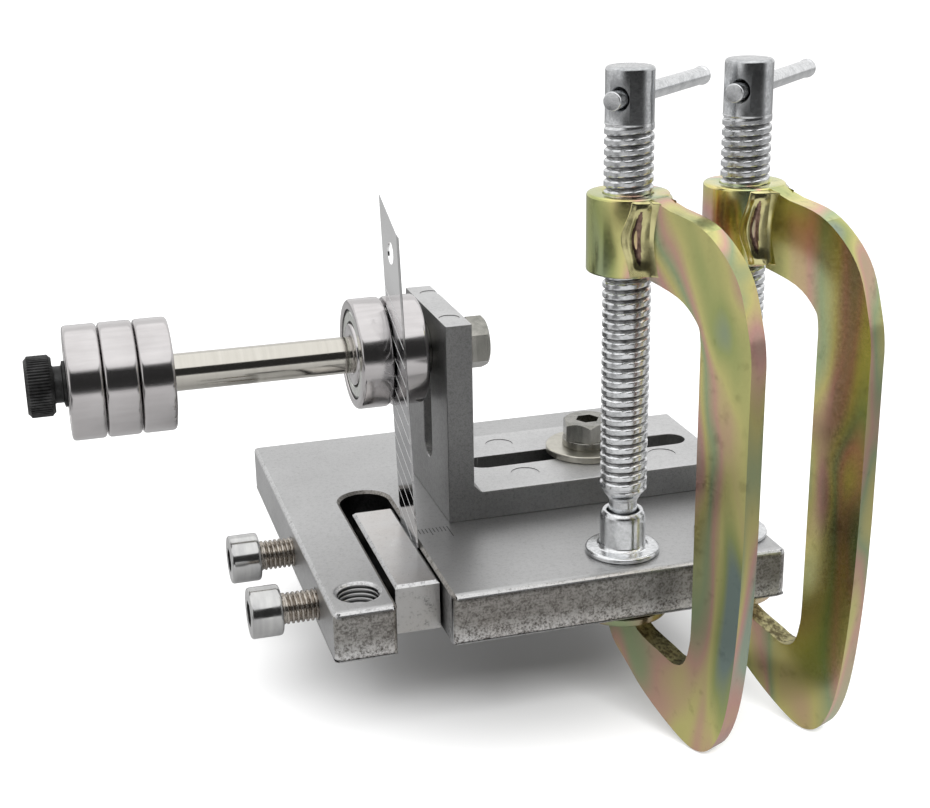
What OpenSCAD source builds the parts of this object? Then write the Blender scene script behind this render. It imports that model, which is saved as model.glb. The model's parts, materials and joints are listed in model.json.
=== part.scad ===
// Leather strap cutting machine: a slotted steel base with an upright blade, a sliding fence,
// five ball-bearing rollers on one spindle, and two screw clamps that hold it to a bench.
// Origin: middle of the base plate's underside. X runs right, Y runs back, Z runs up.

/* [Base plate] */
// Width of the base plate, left to right
plate_w = 120; // [112:1:150]
// Depth of the base plate, front to back
plate_d = 120; // [112:1:150]
// Thickness of the base plate
plate_t = 13.5; // [12.5:0.5:18]
// Bevel along the plate's top edges
plate_bevel = 1; // [0.4:0.1:2]
// Bevel along the plate's bottom edges
plate_foot_bevel = 0.6; // [0.2:0.1:1.5]
// Width of the arm to the left of the blade slot
arm_w = 16; // [15:0.5:20]
// Width of the blade slot
slot_w = 14; // [13.5:0.5:16]
// Reach of the blade slot from the front edge to its round end
slot_l = 74; // [70:1:85]
// Bevel along the blade slot's top edges
slot_bevel = 0.8; // [0.3:0.1:1.5]
// Diameter of the spare threaded hole's wall in the left arm
spare_hole_d = 10.2; // [8:0.1:11]
// Width of the countersink at both mouths of the spare threaded hole
spare_sink = 0.9; // [0.3:0.1:1.2]
// Distance of the spare threaded hole from the left edge
spare_x = 8.5; // [7:0.1:9]
// Distance of the spare threaded hole from the front edge
spare_y = 10.7; // [8:0.1:14]

/* [Scale lines on the plate] */
// Number of scale lines, one a millimetre
scale_lines = 10; // [5:1:11]
// Distance between two scale lines
scale_step = 1; // [0.8:0.1:1.1]
// Width of one scale line
scale_line_w = 0.2; // [0.1:0.05:0.3]
// Depth of the scale lines below the top face
scale_line_deep = 0.15; // [0.1:0.05:0.4]
// Length of a plain scale line
scale_short = 3; // [2:0.5:4]
// Length of every fifth scale line
scale_middle = 4.6; // [4:0.2:6]
// Length of every tenth scale line
scale_long = 7; // [6:0.5:9]
// Gap from the scale lines' back ends to the fence's front
scale_gap = 1.5; // [1:0.5:3]

/* [Blade and its block] */
// Width of the blade
blade_w = 18; // [16:0.5:20]
// Length of the blade over both slanted ends
blade_l = 100; // [90:1:110]
// Thickness of the blade
blade_t = 0.5; // [0.4:0.05:0.8]
// Angle of the blade's ends and score lines
blade_slant = 30; // [20:1:35]
// Backward lean of the blade
blade_lean = 8; // [4:1:10]
// Distance from the plate's front to the cutting edge, at the plate's top
blade_y = 33; // [30:1:38]
// Depth to which the cutting edge runs down past the plate's top
blade_sunk = 8.6; // [6:0.1:9.5]
// Diameter of the hole in the blade's tail
blade_hole_d = 6; // [4:0.5:8]
// Distance of the hole's centre from the tail's end, along the blade
blade_hole_in = 9.9; // [8:0.1:14]
// Distance between two score lines, along the blade
score_step = 5; // [4:0.5:8]
// Depth of a score line
score_deep = 0.1; // [0.05:0.01:0.15]
// Width of the ground strip along the cutting edge
ground_w = 1.4; // [0.8:0.1:2.5]
// Width of the clamping block
block_w = 11.5; // [10:0.1:11.8]
// Length of the clamping block
block_l = 49.3; // [46:0.1:54]
// Height of the clamping block
block_h = 13.2; // [12:0.1:13.2]
// Distance of the block's front from the plate's front
block_in = 11.2; // [8:0.1:13]
// Bevel along the block's top edges
block_bevel = 0.8; // [0.3:0.1:1.5]

/* [Block screws] */
// Thread diameter of the two block screws
block_screw_d = 8; // [6:1:8]
// Thread pitch of the block screws
block_screw_pitch = 1.25; // [1:0.25:1.5]
// Head diameter of the block screws
block_head_d = 13; // [11:0.5:14]
// Head height of the block screws
block_head_h = 8; // [6:0.5:9]
// Hexagon socket across flats in the block screws
block_socket = 6; // [5:0.5:7]
// Depth of the hexagon socket
block_socket_deep = 4; // [3:0.5:5]
// Length of thread showing between the head and the plate
block_screw_show = 9.2; // [4:0.2:12]
// Height of the block screws above the plate's underside
block_screw_z = 5.9; // [5:0.1:8]
// Distance of the front block screw from the plate's front
block_screw_front_y = 22.5; // [18:0.5:28]
// Distance of the rear block screw from the plate's front
block_screw_rear_y = 56; // [48:0.5:56.5]

/* [Fence] */
// Clear width of the strap between the blade and the fence
strap_w = 11.5; // [10.5:0.5:30]
// Thickness of the fence's upright leg
fence_leg_t = 7.2; // [5:0.1:8]
// Thickness of the fence's foot
fence_foot_t = 8; // [6:0.5:9]
// Depth of the fence, front to back
fence_d = 42; // [38:1:50]
// Height of the fence above the plate
fence_h = 55.5; // [53:0.5:65]
// Length of the fence's foot
fence_l = 81.5; // [78:0.5:90]
// Distance of the fence's centre line behind the plate's centre
fence_y = 5; // [2:0.5:8]
// Fillet in the fence's inner corner
fence_fillet = 2; // [1:0.5:4]
// Width of both slots in the fence
fence_slot_w = 8.5; // [8.4:0.1:9.5]
// Height of the upright slot's low end above the foot
fence_slot_low = 4; // [3:0.5:8]
// Metal left above the upright slot
fence_slot_top = 6.2; // [4:0.1:6.3]
// Metal left between the leg and the foot's slot
fence_slot_in = 4.3; // [3:0.1:6]
// Metal left between the foot's slot and its right end
fence_slot_out = 3.7; // [3:0.1:6]
// Diameter of the round ejector marks in the casting
ejector_d = 8; // [5:0.5:9]
// Depth of the ejector marks
ejector_deep = 0.15; // [0.05:0.05:0.4]

/* [Fence bolt] */
// Distance of the fence bolt to the right of the plate's centre
fence_bolt_x = 29; // [24:0.5:34]
// Thread diameter of the fence bolt
fence_bolt_d = 8; // [6:0.5:8]
// Hexagon head across corners
hex_corners = 15; // [13:0.5:17]
// Height of the hexagon head
hex_h = 5.3; // [4:0.1:7]
// Hexagon socket across flats in the fence bolt
hex_socket = 6; // [5:0.5:7]
// Depth of the hexagon socket in the fence bolt
hex_socket_deep = 3; // [2:0.5:4]
// Metal left below the fence bolt's tip
fence_bolt_short = 2; // [1:0.5:5]
// Outer diameter of the flat washer
washer_d = 24; // [18:1:28]
// Thickness of the flat washer
washer_t = 2; // [1:0.1:3]
// Outer diameter of the split lock washer
lock_washer_d = 14.4; // [13:0.1:16]
// Thickness of the split lock washer
lock_washer_t = 2.2; // [1.5:0.1:3]
// Width of the lock washer's split
lock_split = 1.2; // [0.8:0.1:2]

/* [Spindle and rollers] */
// Height of the spindle above the plate's top
spindle_h = 44; // [42:0.5:46]
// Diameter of the spindle rod
rod_d = 10; // [8:0.5:11]
// Outer diameter of the bearings
bearing_od = 30; // [28:0.5:32]
// Width of the bearings
bearing_w = 9; // [8:0.5:10]
// Amount by which an outer ring is narrower than its bearing
ring_narrow = 0.2; // [0.1:0.05:0.5]
// Diameter of the circle through the ball centres
ball_circle = 20; // [19.5:0.1:20.5]
// Diameter of a ball
ball_d = 4.76; // [4:0.01:5]
// Number of balls in a bearing
ball_count = 8; // [6:1:9]
// Clear gap between a ball and its track
ball_gap = 0.03; // [0.02:0.01:0.06]
// Half the gap between the rings' shoulders
shoulder_half_gap = 1.6; // [1.3:0.1:1.8]
// Thickness of a bearing shield
shield_t = 0.5; // [0.3:0.1:0.7]
// Depth of a shield below the outer ring's face
shield_in = 0.3; // [0.1:0.1:0.5]
// Height of the step that holds a shield in the outer ring
shield_step = 0.7; // [0.5:0.1:1]
// Gap between a shield and the inner ring
shield_gap = 0.3; // [0.2:0.1:0.5]
// Bevel at the rings' edges
ring_bevel = 0.5; // [0.2:0.1:0.8]
// Gap between the blade and each roller beside it
blade_gap = 0.1; // [0.05:0.05:0.4]
// Bare length of rod between the outer rollers and the blade's rollers
roller_spread = 48.1; // [40:0.1:60]
// Outer diameter of the shim between the blade's rollers
shim_d = 13; // [12:0.5:13]
// Outer diameter of the spacer between the last roller and the fence
spacer_d = 15; // [13:0.5:16]
// Shank diameter of the spindle bolt in the fence's slot
spindle_shank_d = 8; // [7:0.5:8]
// Outer diameter of the flat washer under the spindle bolt's head
spindle_washer_d = 16; // [15:0.5:17]
// Thickness of the flat washer under the spindle bolt's head
spindle_washer_t = 2; // [1:0.1:3]
// Thread diameter of the screws in the spindle rod's ends
rod_thread_d = 6; // [5:0.5:6]
// Length of thread held in the rod's ends
rod_thread_l = 14; // [10:1:20]
// Diameter of the knurled end screw's head
knob_d = 16; // [14:0.5:20]
// Length of the knurled end screw's head
knob_l = 7; // [5:0.5:10]
// Diameter of the collar under the knurled head
knob_neck_d = 12; // [11.5:0.5:13]
// Length of the collar under the knurled head
knob_neck_l = 3.2; // [2:0.2:5]
// Number of grooves in the knurl
knurl_count = 36; // [24:1:40]
// Depth of a knurl groove
knurl_deep = 0.5; // [0.3:0.1:0.8]

/* [Clamps] */
// Distance of the front clamp's screw to the right of the plate's centre
clamp_front_x = 19.3; // [17:0.1:20]
// Distance of the front clamp's screw from the plate's front
clamp_front_y = 13.1; // [12:0.1:14]
// Distance of the rear clamp's screw to the right of the plate's centre
clamp_rear_x = 50.5; // [50:0.1:51]
// Distance of the rear clamp's screw from the plate's front
clamp_rear_y = 14.3; // [13:0.1:15]
// Direction of both clamp frames, seen from above
clamp_turn = -65; // [-75:1:-60]
// Reach of a clamp frame from its screw to the outside of its back
clamp_reach = 41.5; // [40:0.5:46]
// Height of a clamp frame
clamp_h = 139; // [132:1:142]
// Depth of a clamp frame below the plate's underside
clamp_drop = 32; // [31:0.5:33]
// Thickness of a clamp frame
clamp_t = 5.5; // [4:0.5:7]
// Outer diameter of a clamp's threaded collar
collar_d = 20.2; // [18:0.2:22]
// Length of a clamp's threaded collar
collar_l = 19.2; // [17:0.2:21]
// Height of the collar's low end above the plate's underside
collar_z = 88.5; // [84:0.5:90]
// Diameter of a jaw pad
pad_d = 24; // [18:0.5:24]
// Thickness of a jaw pad
pad_t = 3; // [2:0.1:3.5]

/* [Clamp screws] */
// Thread diameter of a clamp screw
screw_d = 12; // [11:0.5:13]
// Thread pitch of a clamp screw
screw_pitch = 2.5; // [2:0.25:3]
// Height of the thread's low end above the plate's underside
thread_z = 31.4; // [30:0.2:33]
// Length of a clamp screw's thread
thread_l = 93.1; // [90:0.1:100]
// Diameter of a clamp screw's plain head
head_d = 11.8; // [10:0.2:12.6]
// Length of a clamp screw's plain head
head_l = 13.1; // [11:0.1:15]
// Distance from the head's top to the cross hole's centre
cross_hole_in = 7.2; // [5:0.1:9]
// Diameter of the bar through the clamp screw's head
bar_d = 4.5; // [3.5:0.1:5]
// Length of the bar over its end beads
bar_l = 51.5; // [50:0.5:56]
// Distance from the screw's axis to the bar's short end
bar_short = 9.5; // [8.8:0.1:12]
// Diameter of the beads at the bar's ends
bar_bead_d = 5.4; // [5:0.1:6]
// Length of a bead at the bar's ends
bar_bead_l = 2; // [1:0.1:2.4]
// Direction of the front bar's long end, seen from above
bar_front_turn = 41.5; // [30:0.1:45]
// Direction of the rear bar's long end, seen from above
bar_rear_turn = 42.5; // [40:0.1:50]
// Flange diameter of a clamp screw's foot
foot_d = 19.2; // [17:0.2:22]
// Flange thickness of a clamp screw's foot
foot_t = 1.6; // [1:0.1:2.5]
// Diameter of the foot's cup at its base
cup_d = 11.8; // [11.4:0.1:13]
// Diameter of the foot's cup at its rim
cup_rim_d = 11.1; // [10.6:0.1:12]
// Height of the foot's cup above the plate
cup_h = 13.4; // [13:0.1:14]
// Diameter of the ball at the clamp screw's tip
tip_ball_d = 8.8; // [8:0.1:9]
// Diameter of the clamp screw's neck above the ball
neck_d = 7.3; // [6:0.1:7.4]
// Gap all round the ball in its cup
tip_gap = 0.08; // [0.05:0.01:0.1]

/* [Hidden] */
$fn = 64;

// Cutting tools run past the faces they cut by this much
overrun = 2;
// Radial clearance of turned and threaded fits
fit = 0.05;
// Gap between two parts welded or rolled together
seam = 0.02;
// Direction of the fence bolt's head and of the lock washer's split
fence_head_turn = 17;
lock_split_turn = -75;
// Radial play of a washer on its bolt
washer_play = 0.2;
// Radial play of a clamp screw's neck in the foot's mouth
mouth_play = 0.3;

left_x = -plate_w / 2;
front_y = -plate_d / 2;

slot_x0 = left_x + arm_w;
slot_x1 = slot_x0 + slot_w;
slot_cx = (slot_x0 + slot_x1) / 2;
slot_end_y = front_y + slot_l - slot_w / 2;

blade_x0 = slot_x1 - blade_t;
block_x0 = blade_x0 - block_w;
blade_rise = blade_w * tan(blade_slant);
blade_edge_l = blade_l - blade_rise;
blade_edge_y = front_y + blade_y;
blade_foot_s = -blade_sunk / cos(blade_lean);

fence_x0 = slot_x1 + strap_w;
fence_x1 = fence_x0 + fence_leg_t;
fence_end_x = fence_x0 + fence_l;
fence_foot_z = plate_t + fence_foot_t;
fence_top_z = plate_t + fence_h;
fence_slot_z0 = fence_foot_z + fence_slot_low;
fence_slot_z1 = fence_top_z - fence_slot_top;

washer_z = fence_foot_z;
lock_washer_z = washer_z + washer_t;
fence_head_z = lock_washer_z + lock_washer_t;

spindle_z = plate_t + spindle_h;
spindle_lock_x = fence_x1 + spindle_washer_t;
spindle_head_x = spindle_lock_x + lock_washer_t;
ring_w = bearing_w - ring_narrow;
inner_shoulder_r = ball_circle / 2 - shoulder_half_gap;
outer_shoulder_r = ball_circle / 2 + shoulder_half_gap;
track_r = ball_d / 2 + ball_gap;
shield_x = ring_w / 2 - shield_in - shield_t;
shield_hold_r = outer_shoulder_r + shield_step;

// Left faces of the five rollers, from left to right
near_roller_x = blade_x0 - blade_gap - bearing_w;
far_roller_x = slot_x1 + blade_gap;
group_x = near_roller_x - roller_spread - 3 * bearing_w;
roller_x = [group_x, group_x + bearing_w, group_x + 2 * bearing_w, near_roller_x, far_roller_x];
spacer_x = far_roller_x + bearing_w;

clamp_front_at = [clamp_front_x, front_y + clamp_front_y];
clamp_rear_at = [clamp_rear_x, front_y + clamp_rear_y];
head_z = thread_z + thread_l;
cross_z = head_z + head_l - cross_hole_in;
cross_r = bar_d / 2 + fit;
cup_top_z = plate_t + cup_h;
tip_z = plate_t + foot_t + tip_ball_d / 2 + tip_gap;

// An outline in the XZ plane, run along Y
module along_y(y0, len) {
    translate([0, y0 + len, 0])
        rotate([90, 0, 0])
            linear_extrude(len)
                children();
}

// An outline in the YZ plane, run along X
module along_x(x0, len) {
    translate([x0, 0, 0])
        rotate([90, 0, 90])
            linear_extrude(len)
                children();
}

// A round bar along X
module round_x(x0, len, r) {
    translate([x0, 0, 0])
        rotate([0, 90, 0])
            cylinder(r = r, h = len);
}

// A turned shape along X, drawn as [radius, x]
module turned_x(x0) {
    translate([x0, 0, 0])
        rotate([0, 90, 0])
            rotate_extrude()
                children();
}

// Corner points of a rectangle with its four corners cut at 45 degrees
function cut_corners(x0, x1, y0, y1, low, high) = [
    [x0 + low, y0], [x1 - low, y0], [x1, y0 + low], [x1, y1 - high],
    [x1 - high, y1], [x0 + high, y1], [x0, y1 - high], [x0, y0 + low]
];

// A block with its top and bottom edges bevelled
module bevelled_block(x0, x1, y0, y1, h, low, high) {
    intersection() {
        along_y(y0, y1 - y0)
            polygon(cut_corners(x0, x1, 0, h, low, high));
        along_x(x0, x1 - x0)
            polygon(cut_corners(y0, y1, 0, h, low, high));
    }
}

// Shares of the pitch along one thread: root start, root end, crest start, crest end
thread_shares = [0, 0.125, 0.5, 0.625];
// Share of the pitch that the thread stands proud of its root
thread_deep_share = 0.45;

// Outline of a ridged thread along Z, as points from low to high
function thread_ridges(r, pitch, len) =
    let (root = r - thread_deep_share * pitch, turns = floor(len / pitch))
    [
        for (i = [0 : turns - 1])
            each [
                [root, (i + thread_shares[0]) * pitch],
                [root, (i + thread_shares[1]) * pitch],
                [r, (i + thread_shares[2]) * pitch],
                [r, (i + thread_shares[3]) * pitch]
            ],
        [root, turns * pitch],
        [root, len]
    ];

// A straight threaded stud from the origin up
module thread_z_up(r, pitch, len) {
    rotate_extrude()
        polygon(concat([[0, 0]], thread_ridges(r, pitch, len), [[0, len]]));
}

// The blade slot, with its top edges bevelled
module slot_cut() {
    straight = slot_end_y - front_y;
    wide = slot_w / 2 + slot_bevel;
    translate([slot_x0, front_y - overrun, -overrun])
        cube([slot_w, straight + overrun, plate_t + 2 * overrun]);
    translate([slot_cx, slot_end_y, -overrun])
        cylinder(r = slot_w / 2, h = plate_t + 2 * overrun);
    translate([slot_cx, 0, plate_t - slot_bevel])
        along_y(front_y - overrun, straight + overrun)
            polygon([
                [-slot_w / 2, 0], [slot_w / 2, 0],
                [wide + overrun, slot_bevel + overrun], [-wide - overrun, slot_bevel + overrun]
            ]);
    translate([slot_cx, slot_end_y, plate_t - slot_bevel])
        cylinder(r1 = slot_w / 2, r2 = wide + overrun, h = slot_bevel + overrun);
}

// The spare threaded hole, countersunk at both mouths
module spare_hole_cut() {
    r = spare_hole_d / 2;
    translate([left_x + spare_x, front_y + spare_y, 0]) {
        translate([0, 0, -overrun])
            cylinder(r = r, h = plate_t + 2 * overrun);
        translate([0, 0, plate_t - spare_sink])
            cylinder(r1 = r, r2 = r + spare_sink + overrun, h = spare_sink + overrun);
        translate([0, 0, -overrun])
            cylinder(r1 = r + spare_sink + overrun, r2 = r, h = spare_sink + overrun);
    }
}

// Engraved scale lines, counted from the blade
module scale_cut() {
    back_y = fence_y - fence_d / 2 - scale_gap;
    for (i = [1 : scale_lines]) {
        len = i % 10 == 0 ? scale_long : i % 5 == 0 ? scale_middle : scale_short;
        translate([slot_x1 + i * scale_step, back_y - len, plate_t - scale_line_deep])
            cube([scale_line_w, len, scale_line_deep + overrun]);
    }
}

module base_plate() {
    color([0.74, 0.75, 0.75])
    difference() {
        bevelled_block(left_x, -left_x, front_y, -front_y, plate_t, plate_foot_bevel, plate_bevel);
        slot_cut();
        spare_hole_cut();
        scale_cut();
        for (y = [block_screw_front_y, block_screw_rear_y])
            translate([0, front_y + y, block_screw_z])
                round_x(left_x - overrun, arm_w + 2 * overrun, block_screw_d / 2 + fit);
        translate([fence_bolt_x, fence_y, -overrun])
            cylinder(r = fence_bolt_d / 2 + fit, h = plate_t + 2 * overrun);
    }
}

module blade_block() {
    color([0.7, 0.71, 0.72])
    translate([0, front_y + block_in, 0])
        bevelled_block(block_x0, blade_x0, 0, block_l, block_h, seam, block_bevel);
}

// A socket-head screw along X with its tip against the block
module block_screw(y) {
    head_x = left_x - block_screw_show;
    color([0.8, 0.8, 0.82])
    translate([0, front_y + y, block_screw_z]) {
        difference() {
            round_x(head_x - block_head_h, block_head_h, block_head_d / 2);
            translate([head_x - block_head_h - overrun, 0, 0])
                rotate([0, 90, 0])
                    cylinder(r = block_socket / 2 / cos(30), h = block_socket_deep + overrun, $fn = 6);
        }
        translate([head_x, 0, 0])
            rotate([0, 90, 0])
                thread_z_up(block_screw_d / 2, block_screw_pitch, block_x0 - head_x);
    }
}

module block_screw_front() {
    block_screw(block_screw_front_y);
}

module block_screw_rear() {
    block_screw(block_screw_rear_y);
}

// The blade lies in its own plane as [across, along]: the cutting edge is at 0 across
module blade_plane(x0, t) {
    translate([0, blade_edge_y, plate_t])
        rotate([-blade_lean, 0, 0])
            along_x(x0, t)
                children();
}

module blade() {
    foot_s = blade_foot_s;
    top_s = blade_foot_s + blade_edge_l;
    scores = floor((blade_edge_l - 2 * blade_hole_in) / score_step);
    run = overrun * tan(blade_slant);
    color([0.8, 0.82, 0.84])
    difference() {
        blade_plane(blade_x0, blade_t)
            polygon([
                [0, foot_s], [blade_w, foot_s + blade_rise],
                [blade_w, top_s + blade_rise], [0, top_s]
            ]);
        blade_plane(blade_x0 - overrun, blade_t + 2 * overrun)
            translate([blade_w / 2, top_s + blade_rise / 2 - blade_hole_in])
                circle(d = blade_hole_d);
        for (i = [1 : scores])
            blade_plane(blade_x0 - overrun, score_deep + overrun)
                translate([0, foot_s + i * score_step])
                    polygon([
                        [-overrun, -run], [blade_w + overrun, blade_rise + run],
                        [blade_w + overrun, blade_rise + run + score_deep], [-overrun, score_deep - run]
                    ]);
        blade_ground_cut(foot_s, top_s + blade_rise);
    }
}

// Both faces of the blade taper to the cutting edge over the ground strip
module blade_ground_cut(s0, s1) {
    translate([0, blade_edge_y, plate_t])
        rotate([-blade_lean, 0, 0])
            translate([blade_x0 + blade_t / 2, 0, s0 - overrun])
                linear_extrude(s1 - s0 + 2 * overrun)
                    for (side = [-1, 1])
                        polygon([
                            [side * score_deep / 2, -overrun], [side * score_deep / 2, 0],
                            [side * blade_t / 2, ground_w], [side * blade_t, ground_w],
                            [side * blade_t, -overrun]
                        ]);
}

// A slot with round ends between two points of its centre line
module long_slot(a, b) {
    translate([a, -fence_slot_w / 2])
        square([b - a, fence_slot_w]);
    for (x = [a, b])
        translate([x, 0])
            circle(d = fence_slot_w);
}

module fence_bracket() {
    end_r = fence_slot_w / 2;
    color([0.55, 0.56, 0.56])
    difference() {
        along_y(fence_y - fence_d / 2, fence_d)
            polygon([
                [fence_x0, plate_t], [fence_end_x, plate_t], [fence_end_x, fence_foot_z],
                [fence_x1 + fence_fillet, fence_foot_z], [fence_x1, fence_foot_z + fence_fillet],
                [fence_x1, fence_top_z], [fence_x0, fence_top_z]
            ]);
        translate([0, fence_y, plate_t - overrun])
            linear_extrude(fence_foot_t + 2 * overrun)
                long_slot(fence_x1 + fence_slot_in + end_r, fence_end_x - fence_slot_out - end_r);
        translate([fence_x0 - overrun, fence_y, 0])
            rotate([0, -90, 180])
                linear_extrude(fence_leg_t + 2 * overrun)
                    long_slot(fence_slot_z0 + end_r, fence_slot_z1 - end_r);
        ejector_marks();
    }
}

// Places of the ejector marks, as shares of the fence's length and depth from its front left
foot_mark_shares = [[0.303, 0.8], [0.304, 0.23], [0.816, 0.26]];
// The same on the leg's top, as shares of the leg's thickness and the fence's depth
leg_mark_shares = [[0.69, 0.81], [0.45, 0.19]];
// Share of the ejector mark's size on the narrow leg
leg_mark_share = 0.7;

module ejector_marks() {
    front = fence_y - fence_d / 2;
    for (p = foot_mark_shares)
        translate([fence_x0 + p[0] * fence_l, front + p[1] * fence_d, fence_foot_z - ejector_deep])
            cylinder(d = ejector_d, h = ejector_deep + overrun);
    for (p = leg_mark_shares)
        translate([fence_x0 + p[0] * fence_leg_t, front + p[1] * fence_d, fence_top_z - ejector_deep])
            cylinder(d = leg_mark_share * ejector_d, h = ejector_deep + overrun);
}

module fence_bolt() {
    tip_z = fence_bolt_short;
    color([0.78, 0.78, 0.8])
    translate([fence_bolt_x, fence_y, 0]) {
        difference() {
            intersection() {
                translate([0, 0, fence_head_z])
                    rotate([0, 0, fence_head_turn])
                        cylinder(d = hex_corners, h = hex_h, $fn = 6);
                translate([0, 0, fence_head_z - hex_corners / 2 + hex_h])
                    cylinder(r1 = hex_corners, r2 = hex_corners / 2 * cos(30), h = hex_corners / 2);
            }
            translate([0, 0, fence_head_z + hex_h - hex_socket_deep])
                cylinder(r = hex_socket / 2 / cos(30), h = hex_socket_deep + overrun, $fn = 6);
        }
        translate([0, 0, tip_z])
            thread_z_up(fence_bolt_d / 2, block_screw_pitch, fence_head_z - tip_z);
    }
}

// A flat washer that lies on the origin, with play round its bolt
module flat_washer(d, t, bolt_d) {
    difference() {
        cylinder(d = d, h = t);
        translate([0, 0, -overrun])
            cylinder(r = bolt_d / 2 + washer_play, h = t + 2 * overrun);
    }
}

// The same, split on one side
module split_washer(bolt_d) {
    difference() {
        flat_washer(lock_washer_d, lock_washer_t, bolt_d);
        rotate([0, 0, lock_split_turn])
            translate([0, -lock_split / 2, -overrun])
                cube([lock_washer_d, lock_split, lock_washer_t + 2 * overrun]);
    }
}

module fence_washer() {
    color([0.76, 0.74, 0.6])
    translate([fence_bolt_x, fence_y, washer_z])
        flat_washer(washer_d, washer_t, fence_bolt_d);
}

module fence_lock_washer() {
    color([0.6, 0.6, 0.6])
    translate([fence_bolt_x, fence_y, lock_washer_z])
        split_washer(fence_bolt_d);
}

// Everything on the spindle is drawn about the X axis and lifted to its place
module at_spindle() {
    translate([0, fence_y, spindle_z])
        children();
}

module spindle_rod() {
    hold = rod_thread_l + overrun;
    color([0.78, 0.77, 0.78])
    at_spindle()
        difference() {
            round_x(group_x, fence_x0 - group_x, rod_d / 2);
            round_x(group_x - overrun, hold + overrun, rod_thread_d / 2 + fit);
            round_x(fence_x0 - hold, hold + overrun, rod_thread_d / 2 + fit);
        }
}

module spindle_bolt() {
    color([0.74, 0.74, 0.76])
    at_spindle() {
        intersection() {
            translate([spindle_head_x, 0, 0])
                rotate([0, 90, 0])
                    cylinder(d = hex_corners, h = hex_h, $fn = 6);
            translate([spindle_head_x + hex_h - hex_corners / 2, 0, 0])
                rotate([0, 90, 0])
                    cylinder(r1 = hex_corners, r2 = hex_corners / 2 * cos(30), h = hex_corners / 2);
        }
        round_x(fence_x0, spindle_head_x - fence_x0, spindle_shank_d / 2);
        translate([fence_x0 - rod_thread_l, 0, 0])
            rotate([0, 90, 0])
                thread_z_up(rod_thread_d / 2, block_screw_pitch, rod_thread_l);
    }
}

module spindle_washer() {
    color([0.7, 0.7, 0.68])
    at_spindle()
        translate([fence_x1, 0, 0])
            rotate([0, 90, 0])
                flat_washer(spindle_washer_d, spindle_washer_t, spindle_shank_d);
}

module spindle_lock_washer() {
    color([0.6, 0.6, 0.6])
    at_spindle()
        translate([spindle_lock_x, 0, 0])
            rotate([0, 90, 0])
                split_washer(spindle_shank_d);
}

// A plain ring on the rod
module rod_ring(x0, len, d) {
    at_spindle()
        difference() {
            round_x(x0, len, d / 2);
            round_x(x0 - overrun, len + 2 * overrun, rod_d / 2 + seam);
        }
}

module spindle_spacer() {
    color([0.7, 0.7, 0.72])
        rod_ring(spacer_x, fence_x0 - spacer_x, spacer_d);
}

module roller_shim() {
    color([0.7, 0.7, 0.72])
        rod_ring(near_roller_x + bearing_w, far_roller_x - near_roller_x - bearing_w, shim_d);
}

module end_screw() {
    neck_x = group_x - knob_neck_l;
    color([0.1, 0.1, 0.1])
    at_spindle() {
        difference() {
            round_x(neck_x - knob_l, knob_l, knob_d / 2);
            for (i = [0 : knurl_count - 1])
                rotate([360 / knurl_count * i, 0, 0])
                    translate([neck_x - knob_l - overrun, 0, knob_d / 2])
                        rotate([45, 0, 0])
                            translate([0, -knurl_deep / 2, -knurl_deep / 2])
                                cube([knob_l + 2 * overrun, knurl_deep, knurl_deep]);
        }
        round_x(neck_x, knob_neck_l, knob_neck_d / 2);
        translate([group_x, 0, 0])
            rotate([0, 90, 0])
                thread_z_up(rod_thread_d / 2, block_screw_pitch, rod_thread_l);
    }
}

// One bearing sits with its middle at the origin, about the X axis
module at_roller(n) {
    translate([roller_x[n - 1] + bearing_w / 2, fence_y, spindle_z])
        children();
}

module track_cut() {
    rotate([0, 90, 0])
        rotate_extrude()
            translate([ball_circle / 2, 0])
                circle(r = track_r);
}

module roller_outer_ring(n) {
    outer = bearing_od / 2;
    half = ring_w / 2;
    seat = shield_x;
    color([0.82, 0.8, 0.82])
    at_roller(n)
        difference() {
            turned_x(0)
                polygon([
                    [outer_shoulder_r, -seat], [shield_hold_r, -seat], [shield_hold_r, -half],
                    [outer - ring_bevel, -half], [outer, -half + ring_bevel],
                    [outer, half - ring_bevel], [outer - ring_bevel, half],
                    [shield_hold_r, half], [shield_hold_r, seat], [outer_shoulder_r, seat]
                ]);
            track_cut();
        }
}

module roller_inner_ring(n) {
    half = bearing_w / 2;
    bore = rod_d / 2 + seam;
    color([0.8, 0.78, 0.8])
    at_roller(n)
        difference() {
            turned_x(0)
                polygon([
                    [bore, -half], [inner_shoulder_r, -half],
                    [inner_shoulder_r, half], [bore, half]
                ]);
            track_cut();
        }
}

module roller_shields(n) {
    color([0.7, 0.7, 0.7])
    at_roller(n)
        for (side = [0, 1])
            mirror([side, 0, 0])
                turned_x(shield_x)
                    translate([inner_shoulder_r + shield_gap, 0])
                        square([shield_hold_r - seam - inner_shoulder_r - shield_gap, shield_t]);
}

// Share of the shoulder gap that the cage fills, and of the bearing's width that it takes
cage_shares = [0.4, 0.66];

module ball_cage(n) {
    half_t = cage_shares[0] * shoulder_half_gap;
    len = cage_shares[1] * bearing_w;
    color([0.72, 0.6, 0.35])
    at_roller(n)
        difference() {
            round_x(-len / 2, len, ball_circle / 2 + half_t);
            round_x(-len / 2 - overrun, len + 2 * overrun, ball_circle / 2 - half_t);
            for (i = [0 : ball_count - 1])
                rotate([360 / ball_count * i, 0, 0])
                    translate([0, 0, ball_circle / 2])
                        sphere(r = ball_d / 2 + fit);
        }
}

module balls(n) {
    color([0.85, 0.85, 0.87])
    at_roller(n)
        for (i = [0 : ball_count - 1])
            rotate([360 / ball_count * i, 0, 0])
                translate([0, 0, ball_circle / 2])
                    sphere(d = ball_d);
}

// A clamp stands at its screw's axis, with its frame turned to the front
module at_clamp(at) {
    translate([at[0], at[1], 0])
        children();
}

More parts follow.
